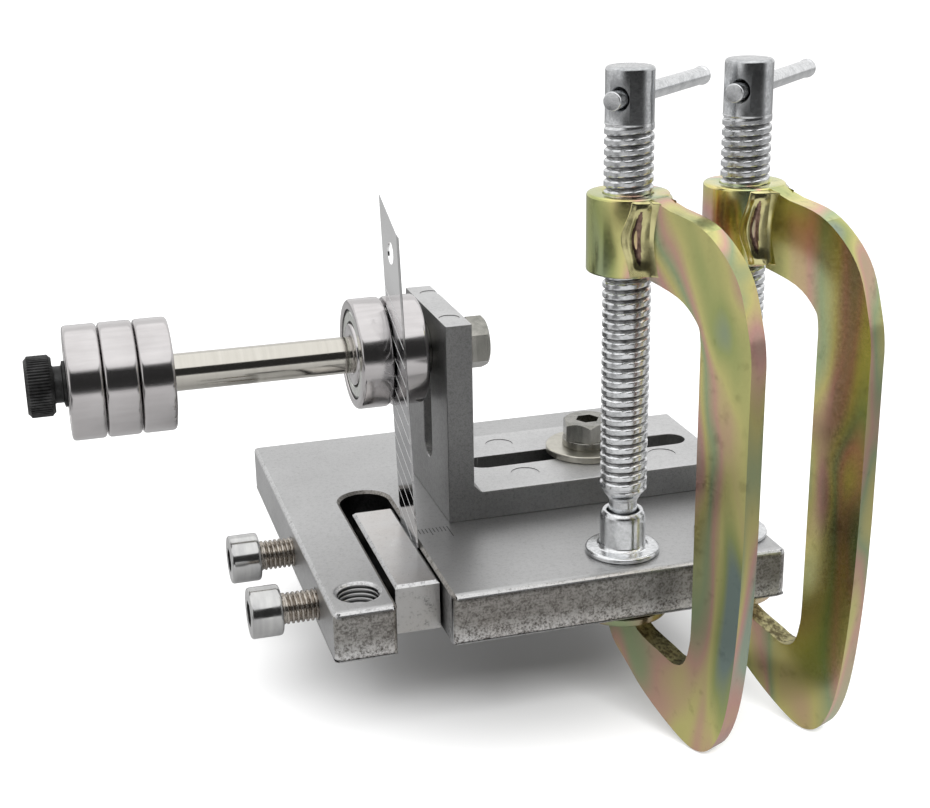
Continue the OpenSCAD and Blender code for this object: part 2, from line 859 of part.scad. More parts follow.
// Clamp frame outline from the collar round the back to the jaw, then back inside.
// Shares of the reach outward and of the height from the frame's lowest point.
frame_outer_shares = [
    [0.15, 1], [0.385, 0.99], [0.602, 0.974], [0.771, 0.938], [0.891, 0.89], [0.964, 0.821],
    [0.998, 0.765], [1, 0.69], [1, 0.446], [0.985, 0.29], [0.95, 0.16], [0.9, 0.075], [0.82, 0.02],
    [0.716, 0], [0.6, 0.006], [0.424, 0.035], [0.24, 0.075], [0.108, 0.115], [-0.005, 0.15]
];
frame_inner_shares = [
    [-0.075, 0.2], [-0.06, 0.225], [0.145, 0.225], [0.2, 0.19], [0.4, 0.165], [0.5, 0.155],
    [0.58, 0.165], [0.62, 0.2], [0.634, 0.26], [0.634, 0.5], [0.634, 0.73], [0.629, 0.784],
    [0.598, 0.811], [0.458, 0.845], [0.176, 0.868], [0.15, 0.87]
];
// Short sides on the curve between two points of the outline
frame_curve_steps = 4;

// A point on the smooth curve between b and c
function curve_point(a, b, c, d, t) =
    (2 * b + (c - a) * t + (2 * a - 5 * b + 4 * c - d) * t ^ 2 + (3 * b - a - 3 * c + d) * t ^ 3) / 2;

// A closed smooth curve through all the points
function closed_curve(points, steps) =
    let (n = len(points))
    [
        for (i = [0 : n - 1])
            for (j = [0 : steps - 1])
                curve_point(
                    points[(i + n - 1) % n], points[i], points[(i + 1) % n], points[(i + 2) % n], j / steps
                )
    ];

module clamp_frame(at) {
    shares = closed_curve(concat(frame_outer_shares, frame_inner_shares), frame_curve_steps);
    color([0.78, 0.76, 0.55])
    at_clamp(at)
        difference() {
            rotate([0, 0, clamp_turn])
                along_y(-clamp_t / 2, clamp_t)
                    polygon([for (p = shares) [p[0] * clamp_reach, p[1] * clamp_h - clamp_drop]]);
            translate([0, 0, collar_z - collar_l / 2])
                cylinder(r = collar_d / 2 + seam, h = 2 * collar_l);
            translate([0, 0, -pad_t])
                cylinder(r = pad_d / 2, h = pad_t + overrun);
        }
}

module clamp_collar(at) {
    color([0.8, 0.74, 0.5])
    at_clamp(at)
        translate([0, 0, collar_z])
            difference() {
                cylinder(d = collar_d, h = collar_l);
                translate([0, 0, -overrun])
                    cylinder(r = screw_d / 2 + fit, h = collar_l + 2 * overrun);
            }
}

module clamp_pad(at) {
    color([0.8, 0.76, 0.55])
    at_clamp(at)
        translate([0, 0, -pad_t])
            cylinder(d = pad_d, h = pad_t);
}

// Bevel at the head's top and flare at the cross hole's mouths, as a share of the head
head_bevel_share = 0.08;
head_bevel = head_bevel_share * head_d;
cross_flare = head_bevel_share * head_d;

module clamp_screw(at, turn) {
    head_r = head_d / 2;
    ridges = thread_ridges(screw_d / 2, screw_pitch, thread_l);
    color([0.82, 0.82, 0.84])
    at_clamp(at)
        difference() {
            union() {
                rotate_extrude()
                    polygon(concat(
                        [[0, tip_z], [neck_d / 2, tip_z], [neck_d / 2, cup_top_z]],
                        [for (p = ridges) [p[0], p[1] + thread_z]],
                        [
                            [head_r, head_z], [head_r, head_z + head_l - head_bevel],
                            [head_r - head_bevel, head_z + head_l], [0, head_z + head_l]
                        ]
                    ));
                translate([0, 0, tip_z])
                    sphere(d = tip_ball_d);
            }
            translate([0, 0, cross_z])
                rotate([0, 90, turn]) {
                    cylinder(r = cross_r, h = 2 * head_d, center = true);
                    for (side = [0, 1])
                        mirror([0, 0, side])
                            translate([0, 0, head_r - cross_flare])
                                cylinder(r1 = cross_r, r2 = cross_r + 2 * cross_flare, h = 2 * cross_flare);
                }
        }
}

module clamp_bar(at, turn) {
    color([0.84, 0.84, 0.86])
    at_clamp(at)
        translate([0, 0, cross_z])
            rotate([0, 90, turn]) {
                translate([0, 0, -bar_short])
                    cylinder(d = bar_d, h = bar_l);
                for (z = [-bar_short, bar_l - bar_short - bar_bead_l])
                    translate([0, 0, z])
                        cylinder(d = bar_bead_d, h = bar_bead_l);
            }
}

module clamp_foot(at) {
    mouth_r = neck_d / 2 + mouth_play;
    color([0.8, 0.8, 0.82])
    at_clamp(at)
        difference() {
            translate([0, 0, plate_t])
                rotate_extrude()
                    polygon([
                        [0, 0], [foot_d / 2, 0], [foot_d / 2, foot_t], [cup_d / 2, foot_t],
                        [cup_d / 2, cup_h / 2], [cup_rim_d / 2, cup_h], [0, cup_h]
                    ]);
            translate([0, 0, tip_z])
                sphere(r = tip_ball_d / 2 + tip_gap);
            translate([0, 0, tip_z])
                cylinder(r = mouth_r, h = cup_h);
        }
}

module clamp_front_frame() { clamp_frame(clamp_front_at); }
module clamp_front_collar() { clamp_collar(clamp_front_at); }
module clamp_front_screw() { clamp_screw(clamp_front_at, bar_front_turn); }
module clamp_front_bar() { clamp_bar(clamp_front_at, bar_front_turn); }
module clamp_front_foot() { clamp_foot(clamp_front_at); }
module clamp_front_pad() { clamp_pad(clamp_front_at); }
module clamp_rear_frame() { clamp_frame(clamp_rear_at); }
module clamp_rear_collar() { clamp_collar(clamp_rear_at); }
module clamp_rear_screw() { clamp_screw(clamp_rear_at, bar_rear_turn); }
module clamp_rear_bar() { clamp_bar(clamp_rear_at, bar_rear_turn); }
module clamp_rear_foot() { clamp_foot(clamp_rear_at); }
module clamp_rear_pad() { clamp_pad(clamp_rear_at); }

base_plate();
blade_block();
block_screw_front();
block_screw_rear();
blade();
fence_bracket();
fence_bolt();
fence_lock_washer();
fence_washer();
spindle_rod();
spindle_bolt();
spindle_lock_washer();
spindle_washer();
spindle_spacer();
roller_shim();
end_screw();
for (n = [1 : 5]) {
    roller_outer_ring(n);
    roller_inner_ring(n);
    roller_shields(n);
    ball_cage(n);
    balls(n);
}
clamp_front_frame();
clamp_front_collar();
clamp_front_screw();
clamp_front_bar();
clamp_front_foot();
clamp_front_pad();
clamp_rear_frame();
clamp_rear_collar();
clamp_rear_screw();
clamp_rear_bar();
clamp_rear_foot();
clamp_rear_pad();
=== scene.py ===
import bpy
import bmesh
import json
import math
import random
from mathutils import Matrix, Vector

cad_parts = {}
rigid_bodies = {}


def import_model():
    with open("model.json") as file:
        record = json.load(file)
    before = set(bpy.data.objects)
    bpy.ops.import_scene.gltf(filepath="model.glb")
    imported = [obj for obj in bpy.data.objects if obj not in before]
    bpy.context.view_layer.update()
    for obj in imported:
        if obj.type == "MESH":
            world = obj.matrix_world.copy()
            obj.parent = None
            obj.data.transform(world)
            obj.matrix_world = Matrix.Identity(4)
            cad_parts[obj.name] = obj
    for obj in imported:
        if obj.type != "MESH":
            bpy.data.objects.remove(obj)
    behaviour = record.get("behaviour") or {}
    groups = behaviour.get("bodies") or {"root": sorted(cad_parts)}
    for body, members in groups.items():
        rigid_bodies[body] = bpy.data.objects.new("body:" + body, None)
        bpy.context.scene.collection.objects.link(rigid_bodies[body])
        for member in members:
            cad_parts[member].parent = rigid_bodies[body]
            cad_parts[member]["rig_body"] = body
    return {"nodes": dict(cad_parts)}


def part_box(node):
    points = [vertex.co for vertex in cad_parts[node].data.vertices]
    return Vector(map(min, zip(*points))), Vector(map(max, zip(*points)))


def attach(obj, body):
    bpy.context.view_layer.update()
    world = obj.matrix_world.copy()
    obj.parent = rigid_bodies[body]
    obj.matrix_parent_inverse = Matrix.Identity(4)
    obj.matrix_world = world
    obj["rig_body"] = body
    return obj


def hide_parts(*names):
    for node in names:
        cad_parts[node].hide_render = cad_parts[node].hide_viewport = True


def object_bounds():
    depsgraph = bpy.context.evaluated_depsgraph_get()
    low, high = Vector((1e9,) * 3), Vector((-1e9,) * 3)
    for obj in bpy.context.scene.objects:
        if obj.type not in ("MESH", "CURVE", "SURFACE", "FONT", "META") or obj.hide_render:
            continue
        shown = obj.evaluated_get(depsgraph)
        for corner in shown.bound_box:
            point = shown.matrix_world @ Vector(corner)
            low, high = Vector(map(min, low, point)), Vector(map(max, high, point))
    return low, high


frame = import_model()
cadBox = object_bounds()
mm = 0.001
xAxis, zAxis = Vector((1, 0, 0)), Vector((0, 0, 1))
print("frame loaded:", len(frame["nodes"]), "nodes")


def placed(name, data):
    made = bpy.data.objects.new(name, data)
    bpy.context.scene.collection.objects.link(made)
    return made


# camera, at the photograph's viewing angle
view = {
    "place": (-0.12219, -0.39394, 0.18439),
    "yaw": 0.2798,       # turned right from straight ahead, radians
    "pitch": 0.3356,     # looking down
    "roll": -0.0183,
    "lens": 60.77,       # mm on a 36 mm sensor
}


def makeCamera():
    yaw, pitch, roll = view["yaw"], view["pitch"], view["roll"]
    ahead = Vector((math.sin(yaw) * math.cos(pitch), math.cos(yaw) * math.cos(pitch), -math.sin(pitch)))
    level = Vector((math.cos(yaw), -math.sin(yaw), 0))
    up = level.cross(ahead)
    right = math.cos(roll) * level + math.sin(roll) * up
    top = -math.sin(roll) * level + math.cos(roll) * up
    data = bpy.data.cameras.new("camera")
    data.lens = view["lens"]
    data.sensor_width = 36
    data.clip_start = 0.01
    camera = placed("camera", data)
    turn = Matrix((right, top, -ahead)).transposed().to_4x4()
    camera.matrix_world = Matrix.Translation(view["place"]) @ turn
    bpy.context.scene.camera = camera


makeCamera()
bpy.context.scene.view_settings.view_transform = "Standard"
print("camera set")


# node helpers
def put(tree, kind, **settings):
    made = tree.nodes.new(kind)
    for key, value in settings.items():
        if hasattr(made, key):
            setattr(made, key, value)
        else:
            made.inputs[key.replace("_", " ")].default_value = value
    return made


def wire(tree, source, target):
    tree.links.new(source, target)


def feed(tree, value, socket):
    # link another node's output, or set a number or a colour
    if hasattr(value, "is_output"):
        wire(tree, value, socket)
    else:
        socket.default_value = value if isinstance(value, (int, float)) else (*value, 1)


def mathNode(tree, operation, a, b=None, c=None):
    made = put(tree, "ShaderNodeMath", operation=operation)
    for socket, value in zip(made.inputs, (a, b, c)):
        if value is not None:
            feed(tree, value, socket)
    return made.outputs[0]


def ramp(tree, source, stops):
    made = tree.nodes.new("ShaderNodeValToRGB")
    elements = made.color_ramp.elements
    while len(elements) < len(stops):
        elements.new(0.5)
    for element, (place, colour) in zip(elements, stops):
        element.position = place
        element.color = (*colour, 1)
    wire(tree, source, made.inputs[0])
    return made.outputs[0]


def grey(value):
    return (value, value, value)


def mixColour(tree, share, a, b, blend="MIX"):
    made = put(tree, "ShaderNodeMix", data_type="RGBA", blend_type=blend)
    for k, value in ((0, share), (6, a), (7, b)):
        feed(tree, value, made.inputs[k])
    return made.outputs[2]


# shared effects, one group each
def newGroup(name, inputs, outputs):
    tree = bpy.data.node_groups.new(name, "ShaderNodeTree")
    for label, kind, value in inputs:
        socket = tree.interface.new_socket(name=label, in_out="INPUT", socket_type=kind)
        if value is not None:
            socket.default_value = value
    for label, kind in outputs:
        tree.interface.new_socket(name=label, in_out="OUTPUT", socket_type=kind)
    return tree, tree.nodes.new("NodeGroupInput"), tree.nodes.new("NodeGroupOutput")


def makeGrain():
    # fine cast grain: a mask of dark pits and a height for the bump
    tree, given, out = newGroup(
        "castGrain",
        [("Vector", "NodeSocketVector", None), ("Scale", "NodeSocketFloat", 900.0),
         ("Cut", "NodeSocketFloat", 0.5)],
        [("Pits", "NodeSocketFloat"), ("Height", "NodeSocketFloat")])
    fine = put(tree, "ShaderNodeTexNoise", Detail=4.0, Roughness=0.65)
    wire(tree, given.outputs["Vector"], fine.inputs["Vector"])
    wire(tree, given.outputs["Scale"], fine.inputs["Scale"])
    coarse = put(tree, "ShaderNodeTexNoise", Detail=3.0, Roughness=0.6)
    wire(tree, given.outputs["Vector"], coarse.inputs["Vector"])
    wire(tree, mathNode(tree, "MULTIPLY", given.outputs["Scale"], 0.31), coarse.inputs["Scale"])
    both = mathNode(tree, "ADD", mathNode(tree, "MULTIPLY", fine.outputs["Fac"], 0.62),
                    mathNode(tree, "MULTIPLY", coarse.outputs["Fac"], 0.38))
    pits = put(tree, "ShaderNodeMapRange", interpolation_type="SMOOTHSTEP")
    wire(tree, both, pits.inputs["Value"])
    wire(tree, mathNode(tree, "SUBTRACT", given.outputs["Cut"], 0.11), pits.inputs["From Min"])
    wire(tree, mathNode(tree, "ADD", given.outputs["Cut"], 0.11), pits.inputs["From Max"])
    wire(tree, pits.outputs["Result"], out.inputs["Pits"])
    wire(tree, both, out.inputs["Height"])
    return tree


def makeSmudge():
    # slow cloudy change of tone, with fine scratches along one direction
    tree, given, out = newGroup(
        "handledMetal",
        [("Vector", "NodeSocketVector", None), ("Cloud", "NodeSocketFloat", 60.0),
         ("Scratch", "NodeSocketFloat", 500.0), ("Stretch", "NodeSocketVector", (1.0, 1.0, 12.0))],
        [("Cloud", "NodeSocketFloat"), ("Scratch", "NodeSocketFloat")])
    cloud = put(tree, "ShaderNodeTexNoise", Detail=3.0, Roughness=0.55)
    wire(tree, given.outputs["Vector"], cloud.inputs["Vector"])
    wire(tree, given.outputs["Cloud"], cloud.inputs["Scale"])
    stretch = put(tree, "ShaderNodeVectorMath", operation="DIVIDE")
    wire(tree, given.outputs["Vector"], stretch.inputs[0])
    wire(tree, given.outputs["Stretch"], stretch.inputs[1])
    scratch = put(tree, "ShaderNodeTexNoise", Detail=2.0, Roughness=0.5)
    wire(tree, stretch.outputs[0], scratch.inputs["Vector"])
    wire(tree, given.outputs["Scratch"], scratch.inputs["Scale"])
    wire(tree, cloud.outputs["Fac"], out.inputs["Cloud"])
    wire(tree, scratch.outputs["Fac"], out.inputs["Scratch"])
    return tree


castGrain = makeGrain()
handledMetal = makeSmudge()


looks = {}


def newMaterial(name, metallic):
    material = bpy.data.materials.new(name)
    looks[name] = material
    material.use_nodes = True
    tree = material.node_tree
    shader = tree.nodes["Principled BSDF"]
    shader.inputs["Metallic"].default_value = metallic
    return tree, shader, tree.nodes.new("ShaderNodeTexCoord")


def addGroup(tree, group, place, **values):
    made = tree.nodes.new("ShaderNodeGroup")
    made.node_tree = group
    for key, value in values.items():
        made.inputs[key].default_value = value
    wire(tree, place.outputs["Object"], made.inputs["Vector"])
    return made


def addBump(tree, shader, height, distance, strength=1.0):
    bump = put(tree, "ShaderNodeBump", Strength=strength, Distance=distance)
    wire(tree, height, bump.inputs["Height"])
    wire(tree, bump.outputs["Normal"], shader.inputs["Normal"])


def roughen(tree, shader, source, low, high):
    rough = ramp(tree, source, [(0.3, grey(low)), (0.7, grey(high))])
    wire(tree, rough, shader.inputs["Roughness"])


def riseAlong(tree, place, axis, start, end, kind="SMOOTHSTEP", space="Object"):
    # 0 at start and 1 at end, along one axis
    split = tree.nodes.new("ShaderNodeSeparateXYZ")
    wire(tree, place.outputs[space], split.inputs[0])
    rise = put(tree, "ShaderNodeMapRange", interpolation_type=kind, From_Min=start, From_Max=end)
    wire(tree, split.outputs[axis], rise.inputs["Value"])
    return rise.outputs["Result"]


def castMetal(name, dark, light, roughness, scale=1500.0, cut=0.5, bump=0.00012, tint=None, rim=None):
    tree, shader, place = newMaterial(name, 1.0)
    grain = addGroup(tree, castGrain, place, Scale=scale, Cut=cut)
    cloud = addGroup(tree, handledMetal, place, Cloud=45.0, Scratch=600.0, Stretch=(1.0, 6.0, 1.0))
    colour = mixColour(tree, grain.outputs["Pits"], dark, light)
    if rim:
        # painted reflection: pale specks lighter towards the bottom, up to the height given
        paintedLightMix = riseAlong(tree, place, "Z", rim, 0.0, "LINEAR")
        paintedGlints = mathNode(tree, "MULTIPLY", paintedLightMix, grain.outputs["Pits"])
        colour = mixColour(tree, paintedGlints, colour, grey(0.97))
    shade = ramp(tree, cloud.outputs["Cloud"], [(0.3, tint or grey(0.86)), (0.7, grey(1.0))])
    wire(tree, mixColour(tree, 1.0, colour, shade, "MULTIPLY"), shader.inputs["Base Color"])
    roughen(tree, shader, grain.outputs["Height"], roughness + 0.12, roughness - 0.06)
    addBump(tree, shader, grain.outputs["Height"], bump)


def slotShadeMetal(name, deep, front, inner, outer):
    # a slot's wall with painted shade: dark inside, plain metal towards the plate's front
    tree, shader, place = newMaterial(name, 1.0)
    grain = addGroup(tree, castGrain, place, Scale=1500.0, Cut=0.48)
    colour = mixColour(tree, riseAlong(tree, place, "Y", inner, outer), deep, front)
    spots = ramp(tree, grain.outputs["Pits"], [(0.0, grey(0.55)), (1.0, grey(1.0))])
    wire(tree, mixColour(tree, 1.0, colour, spots, "MULTIPLY"), shader.inputs["Base Color"])
    shader.inputs["Roughness"].default_value = 0.5
    addBump(tree, shader, grain.outputs["Height"], 0.0001)


def ridgedWall(name, pitch):
    # fine thread ridges on the wall of a hole, up its Z axis, with painted shade: near black in the roots, mid
    # grey on the crests
    tree, shader, place = newMaterial(name, 1.0)
    split = tree.nodes.new("ShaderNodeSeparateXYZ")
    wire(tree, place.outputs["Object"], split.inputs[0])
    wave = mathNode(tree, "SINE", mathNode(tree, "MULTIPLY", split.outputs["Z"], 2 * math.pi / pitch))
    height = mathNode(tree, "MULTIPLY_ADD", wave, 0.5, 0.5)
    wire(tree, ramp(tree, height, [(0.2, grey(0.06)), (0.8, grey(0.55))]), shader.inputs["Base Color"])
    shader.inputs["Roughness"].default_value = 0.35
    addBump(tree, shader, height, 0.0004)


def smoothMetal(name, low, high, roughness, cloud=60.0, scratch=700.0, stretch=(1.0, 1.0, 12.0),
                bump=0.00001, spread=0.06, metallic=1.0):
    tree, shader, place = newMaterial(name, metallic)
    marks = addGroup(tree, handledMetal, place, Cloud=cloud, Scratch=scratch, Stretch=stretch)
    both = mathNode(tree, "ADD", mathNode(tree, "MULTIPLY", marks.outputs["Cloud"], 0.6),
                    mathNode(tree, "MULTIPLY", marks.outputs["Scratch"], 0.4))
    wire(tree, ramp(tree, both, [(0.35, low), (0.65, high)]), shader.inputs["Base Color"])
    roughen(tree, shader, marks.outputs["Scratch"], roughness + spread, roughness)
    addBump(tree, shader, marks.outputs["Scratch"], bump)


def yellowZinc(name, shift, paintedShadeByHeight):
    # thin-film colours drift slowly over the metal; the last argument gives painted shade by height, as (share
    # of the clamp's height, tone)
    tree, shader, place = newMaterial(name, 1.0)
    squeeze = put(tree, "ShaderNodeMapping")
    squeeze.inputs["Scale"].default_value = (1.5, 1.5, 0.5)
    squeeze.inputs["Location"].default_value = (shift, shift * 0.7, shift * 1.3)
    wire(tree, place.outputs["Object"], squeeze.inputs["Vector"])
    drift = put(tree, "ShaderNodeTexNoise", Scale=30.0, Detail=1.6, Roughness=0.4, Distortion=0.5)
    wire(tree, squeeze.outputs[0], drift.inputs["Vector"])
    film = ramp(tree, drift.outputs["Fac"], [
        (0.27, (0.36, 0.46, 0.42)), (0.35, (0.54, 0.60, 0.24)), (0.42, (0.84, 0.78, 0.32)),
        (0.48, (0.82, 0.52, 0.40)), (0.54, (0.48, 0.58, 0.33)), (0.60, (0.82, 0.74, 0.30)),
        (0.66, (0.80, 0.47, 0.40)), (0.75, (0.45, 0.54, 0.42))])
    marks = addGroup(tree, handledMetal, place, Cloud=240.0, Scratch=1400.0, Stretch=(1.0, 1.0, 1.0))
    stain = ramp(tree, marks.outputs["Cloud"], [(0.28, grey(0.80)), (0.42, grey(1.0))])
    # painted shade by height, multiplied with the real stains
    level = riseAlong(tree, place, "Z", -32 * mm, 90 * mm, "LINEAR")
    tone = ramp(tree, level, [(share, grey(value)) for share, value in paintedShadeByHeight])
    paintedLightMix = mixColour(tree, 1.0, stain, tone, "MULTIPLY")
    wire(tree, mixColour(tree, 1.0, film, paintedLightMix, "MULTIPLY"), shader.inputs["Base Color"])
    roughen(tree, shader, marks.outputs["Scratch"], 0.24, 0.16)
    addBump(tree, shader, marks.outputs["Cloud"], 0.00001)


def bladeSteel(name, low, high, start, end):
    # polished steel with a painted reflection: darker below the first height and brighter above the second
    tree, shader, place = newMaterial(name, 1.0)
    marks = addGroup(tree, handledMetal, place, Cloud=40.0, Scratch=900.0, Stretch=(1.0, 30.0, 1.0))
    tone = mixColour(tree, riseAlong(tree, place, "Z", start, end), low, high)
    cloud = ramp(tree, marks.outputs["Cloud"], [(0.3, grey(0.9)), (0.7, grey(1.0))])
    wire(tree, mixColour(tree, 1.0, tone, cloud, "MULTIPLY"), shader.inputs["Base Color"])
    roughen(tree, shader, marks.outputs["Scratch"], 0.18, 0.10)


def blackFinish():
    tree, shader, place = newMaterial("blackOxide", 0.6)
    marks = addGroup(tree, handledMetal, place, Cloud=300.0, Scratch=1500.0, Stretch=(1.0, 1.0, 1.0))
    wire(tree, ramp(tree, marks.outputs["Cloud"], [(0.35, grey(0.012)), (0.7, grey(0.05))]),
         shader.inputs["Base Color"])
    roughen(tree, shader, marks.outputs["Scratch"], 0.5, 0.36)
    addBump(tree, shader, marks.outputs["Scratch"], 0.00002)


castMetal("plateTop", grey(0.44), grey(0.53), 0.37, scale=2400.0, cut=0.42, bump=0.00003, tint=grey(0.90))
# the front's pale specks towards its bottom edge are a painted reflection
castMetal("plateFront", (0.16, 0.15, 0.14), (0.40, 0.39, 0.37), 0.40, scale=1500.0, cut=0.48, bump=0.00014,
          tint=(0.80, 0.77, 0.75), rim=6 * mm)
castMetal("plateBevel", grey(0.30), grey(0.66), 0.30, scale=2000.0, cut=0.42, bump=0.00008)
slotShadeMetal("slotWallShaded", grey(0.03), grey(0.50), -49 * mm, -57 * mm)
ridgedWall("threadWallShaded", 1.25 * mm)
castMetal("blockTop", grey(0.52), grey(0.66), 0.30, scale=1500.0, cut=0.36, bump=0.00003,
          tint=(0.93, 0.88, 0.84))
castMetal("blockFront", grey(0.16), grey(0.52), 0.34, scale=1300.0, cut=0.37, bump=0.00010,
          tint=(0.93, 0.90, 0.86))
castMetal("fenceCast", grey(0.25), grey(0.33), 0.44, scale=3400.0, cut=0.46, bump=0.00007)
# a lighter copy of fenceCast for the upward faces: painted light from above
castMetal("fenceTop", grey(0.56), grey(0.66), 0.42, scale=3400.0, cut=0.46, bump=0.00004)
smoothMetal("bearing", (0.52, 0.50, 0.50), (0.60, 0.58, 0.58), 0.13, cloud=90.0, stretch=(12.0, 1.0, 1.0),
            bump=0.000003, spread=0.05)
smoothMetal("bearingShield", (0.58, 0.60, 0.56), (0.72, 0.73, 0.69), 0.22, bump=0.00001)
smoothMetal("ball", grey(0.8), grey(0.86), 0.05, bump=0.0)
smoothMetal("cageBrass", (0.55, 0.40, 0.18), (0.72, 0.55, 0.28), 0.3)
smoothMetal("rod", (0.52, 0.50, 0.45), (0.60, 0.58, 0.53), 0.09, cloud=40.0, stretch=(1.0, 14.0, 14.0),
            bump=0.000003, spread=0.05)
blackFinish()
smoothMetal("stainless", (0.46, 0.46, 0.46), (0.62, 0.62, 0.61), 0.12, cloud=160.0, stretch=(1.0, 9.0, 9.0),
            bump=0.000006, spread=0.08)
smoothMetal("threadSteel", (0.26, 0.23, 0.20), (0.56, 0.52, 0.47), 0.22, cloud=330.0,
            stretch=(1.0, 1.0, 1.0), bump=0.00003)
smoothMetal("boltSteel", (0.22, 0.22, 0.20), (0.38, 0.37, 0.34), 0.22, cloud=150.0, bump=0.00002)
smoothMetal("washerZinc", (0.50, 0.48, 0.42), (0.62, 0.60, 0.53), 0.30, cloud=120.0, bump=0.00002)
smoothMetal("brightZinc", (0.60, 0.61, 0.62), (0.86, 0.87, 0.88), 0.17, cloud=230.0, scratch=1300.0,
            stretch=(1.0, 1.0, 1.0), bump=0.00001, spread=0.10)
# a darker copy of brightZinc for the screw heads: painted shade
smoothMetal("headZincShaded", (0.40, 0.41, 0.42), (0.62, 0.63, 0.64), 0.17, cloud=230.0, scratch=1300.0,
            stretch=(1.0, 1.0, 1.0), bump=0.00001, spread=0.10)
# painted shade for the roots of the clamp screws' threads
smoothMetal("threadRootShade", grey(0.16), grey(0.40), 0.35, cloud=400.0, stretch=(1.0, 1.0, 1.0))
# the front clamp is painted darker across its lower middle, as shade; the rear one is left even
yellowZinc("yellowZinc", 0.16, [(0.05, 0.95), (0.28, 0.52), (0.45, 0.50), (0.8, 0.85)])
yellowZinc("yellowZincRear", 0.37, [(0.0, 1.0), (1.0, 1.0)])
# outer edge band: a copy of the zinc with painted light and shade by height
yellowZinc("zincEdgePaintedLight", 0.6, [(0.1, 1.0), (0.39, 0.65), (0.58, 0.48), (0.77, 0.45), (0.95, 0.75)])
# rough sheared inner edge of the frames, partly painted shade under the plate
castMetal("zincShornShaded", (0.12, 0.10, 0.05), (0.46, 0.42, 0.22), 0.35, scale=900.0, cut=0.5, bump=0.0002)
castMetal("weld", (0.50, 0.46, 0.22), (0.80, 0.74, 0.38), 0.18, scale=160.0, cut=0.46, bump=0.00010)
castMetal("weldCore", (0.10, 0.06, 0.05), (0.34, 0.22, 0.17), 0.20, scale=260.0, cut=0.50, bump=0.00010)
bladeSteel("blade", (0.40, 0.40, 0.41), grey(0.97), 60 * mm, 84 * mm)
smoothMetal("bladeEdge", grey(0.45), grey(0.62), 0.20, stretch=(1.0, 30.0, 1.0))
smoothMetal("bladeScore", grey(0.46), grey(0.58), 0.42, stretch=(1.0, 1.0, 1.0), metallic=0.1)
# painted shade for the scale's grooves
smoothMetal("scaleMark", grey(0.13), grey(0.20), 0.5)
# painted shade for crevices: the bearing shields' edges and the walls of the fence's shallow marks
smoothMetal("paintedGrooveShade", grey(0.04), grey(0.10), 0.5)
print("materials made:", len(looks))


# mesh helpers
def meshOf(bm, name):
    mesh = bpy.data.meshes.new(name)
    bm.to_mesh(mesh)
    bm.free()
    return mesh


def dress(mesh, look):
    for name in (look,) if isinstance(look, str) else look:
        mesh.materials.append(looks[name])


def addObject(name, mesh, look, body, stands=()):
    piece = placed(name, mesh)
    dress(mesh, look)
    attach(piece, body)
    if stands:
        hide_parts(*stands)
    return piece


def bodyOf(node):
    return frame["nodes"][node]["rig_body"]


def shadeSmooth(mesh, degrees=38):
    bm = bmesh.new()
    bm.from_mesh(mesh)
    limit = math.radians(degrees)
    for edge in bm.edges:
        edge.smooth = len(edge.link_faces) == 2 and edge.calc_face_angle(0) < limit
    for face in bm.faces:
        face.smooth = True
    bm.to_mesh(mesh)
    bm.free()


def applied(piece):
    # bake the modifiers into the mesh
    depsgraph = bpy.context.evaluated_depsgraph_get()
    depsgraph.update()
    mesh = bpy.data.meshes.new_from_object(piece.evaluated_get(depsgraph))
    piece.modifiers.clear()
    piece.data = mesh
    return piece


def softened(node, name, width, look, segments=2, pick=None, share=None):
    # the CAD shape with its sharp edges rounded; share(edge) gives the part of the width to use
    mesh = frame["nodes"][node].data.copy()
    bm = bmesh.new()
    bm.from_mesh(mesh)
    bmesh.ops.remove_doubles(bm, verts=bm.verts, dist=2e-6)
    bmesh.ops.dissolve_limit(bm, angle_limit=math.radians(0.6), verts=bm.verts, edges=bm.edges)
    weight = bm.edges.layers.float.new("bevel_weight_edge")
    for edge in bm.edges:
        sharp = len(edge.link_faces) == 2 and edge.calc_face_angle(0) > math.radians(28)
        edge[weight] = (share(edge) if share else 1.0) if sharp else 0.0
    bm.to_mesh(mesh)
    bm.free()
    piece = placed(name, mesh)
    bevel = piece.modifiers.new("bevel", "BEVEL")
    bevel.width = width
    bevel.segments = segments
    bevel.limit_method = "WEIGHT"
    bevel.use_clamp_overlap = share is None
    piece.modifiers.new("normals", "WEIGHTED_NORMAL").keep_sharp = True
    shadeSmooth(mesh, 32)
    applied(piece)
    mesh = piece.data
    mesh.materials.clear()
    dress(mesh, look)
    for polygon in mesh.polygons:
        polygon.material_index = pick(polygon) if pick else 0
    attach(piece, bodyOf(node))
    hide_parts(node)
    return piece


def rounded(points, radius, steps=3, closed=True):
    # an outline with its corners rounded
    count = len(points)
    out = []
    for i, here in enumerate(points):
        here = Vector(here)
        if not closed and i in (0, count - 1):
            out.append(here)
            continue
        before, after = Vector(points[i - 1]), Vector(points[(i + 1) % count])
        backward, forward = before - here, after - here
        reach = min(radius, backward.length * 0.45, forward.length * 0.45)
        if reach < 1e-7:
            out.append(here)
            continue
        start, end = here + backward.normalized() * reach, here + forward.normalized() * reach
        for k in range(steps + 1):
            t = k / steps
            out.append(start * (1 - t) ** 2 + here * 2 * t * (1 - t) + end * t * t)
    return [tuple(p) for p in out]


def turnTo(direction, centre):
    # a matrix that takes local Z to a direction and the origin to a centre
    direction = Vector(direction).normalized()
    return Matrix.Translation(centre) @ direction.to_track_quat("Z", "Y").to_matrix().to_4x4()


def alongX(node):
    # the place of a turned piece that lies along X, from its low end, with its radius and length
    low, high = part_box(node)
    centre = (low + high) / 2
    return turnTo(xAxis, (low.x, centre.y, centre.z)), (high.z - low.z) / 2, high.x - low.x


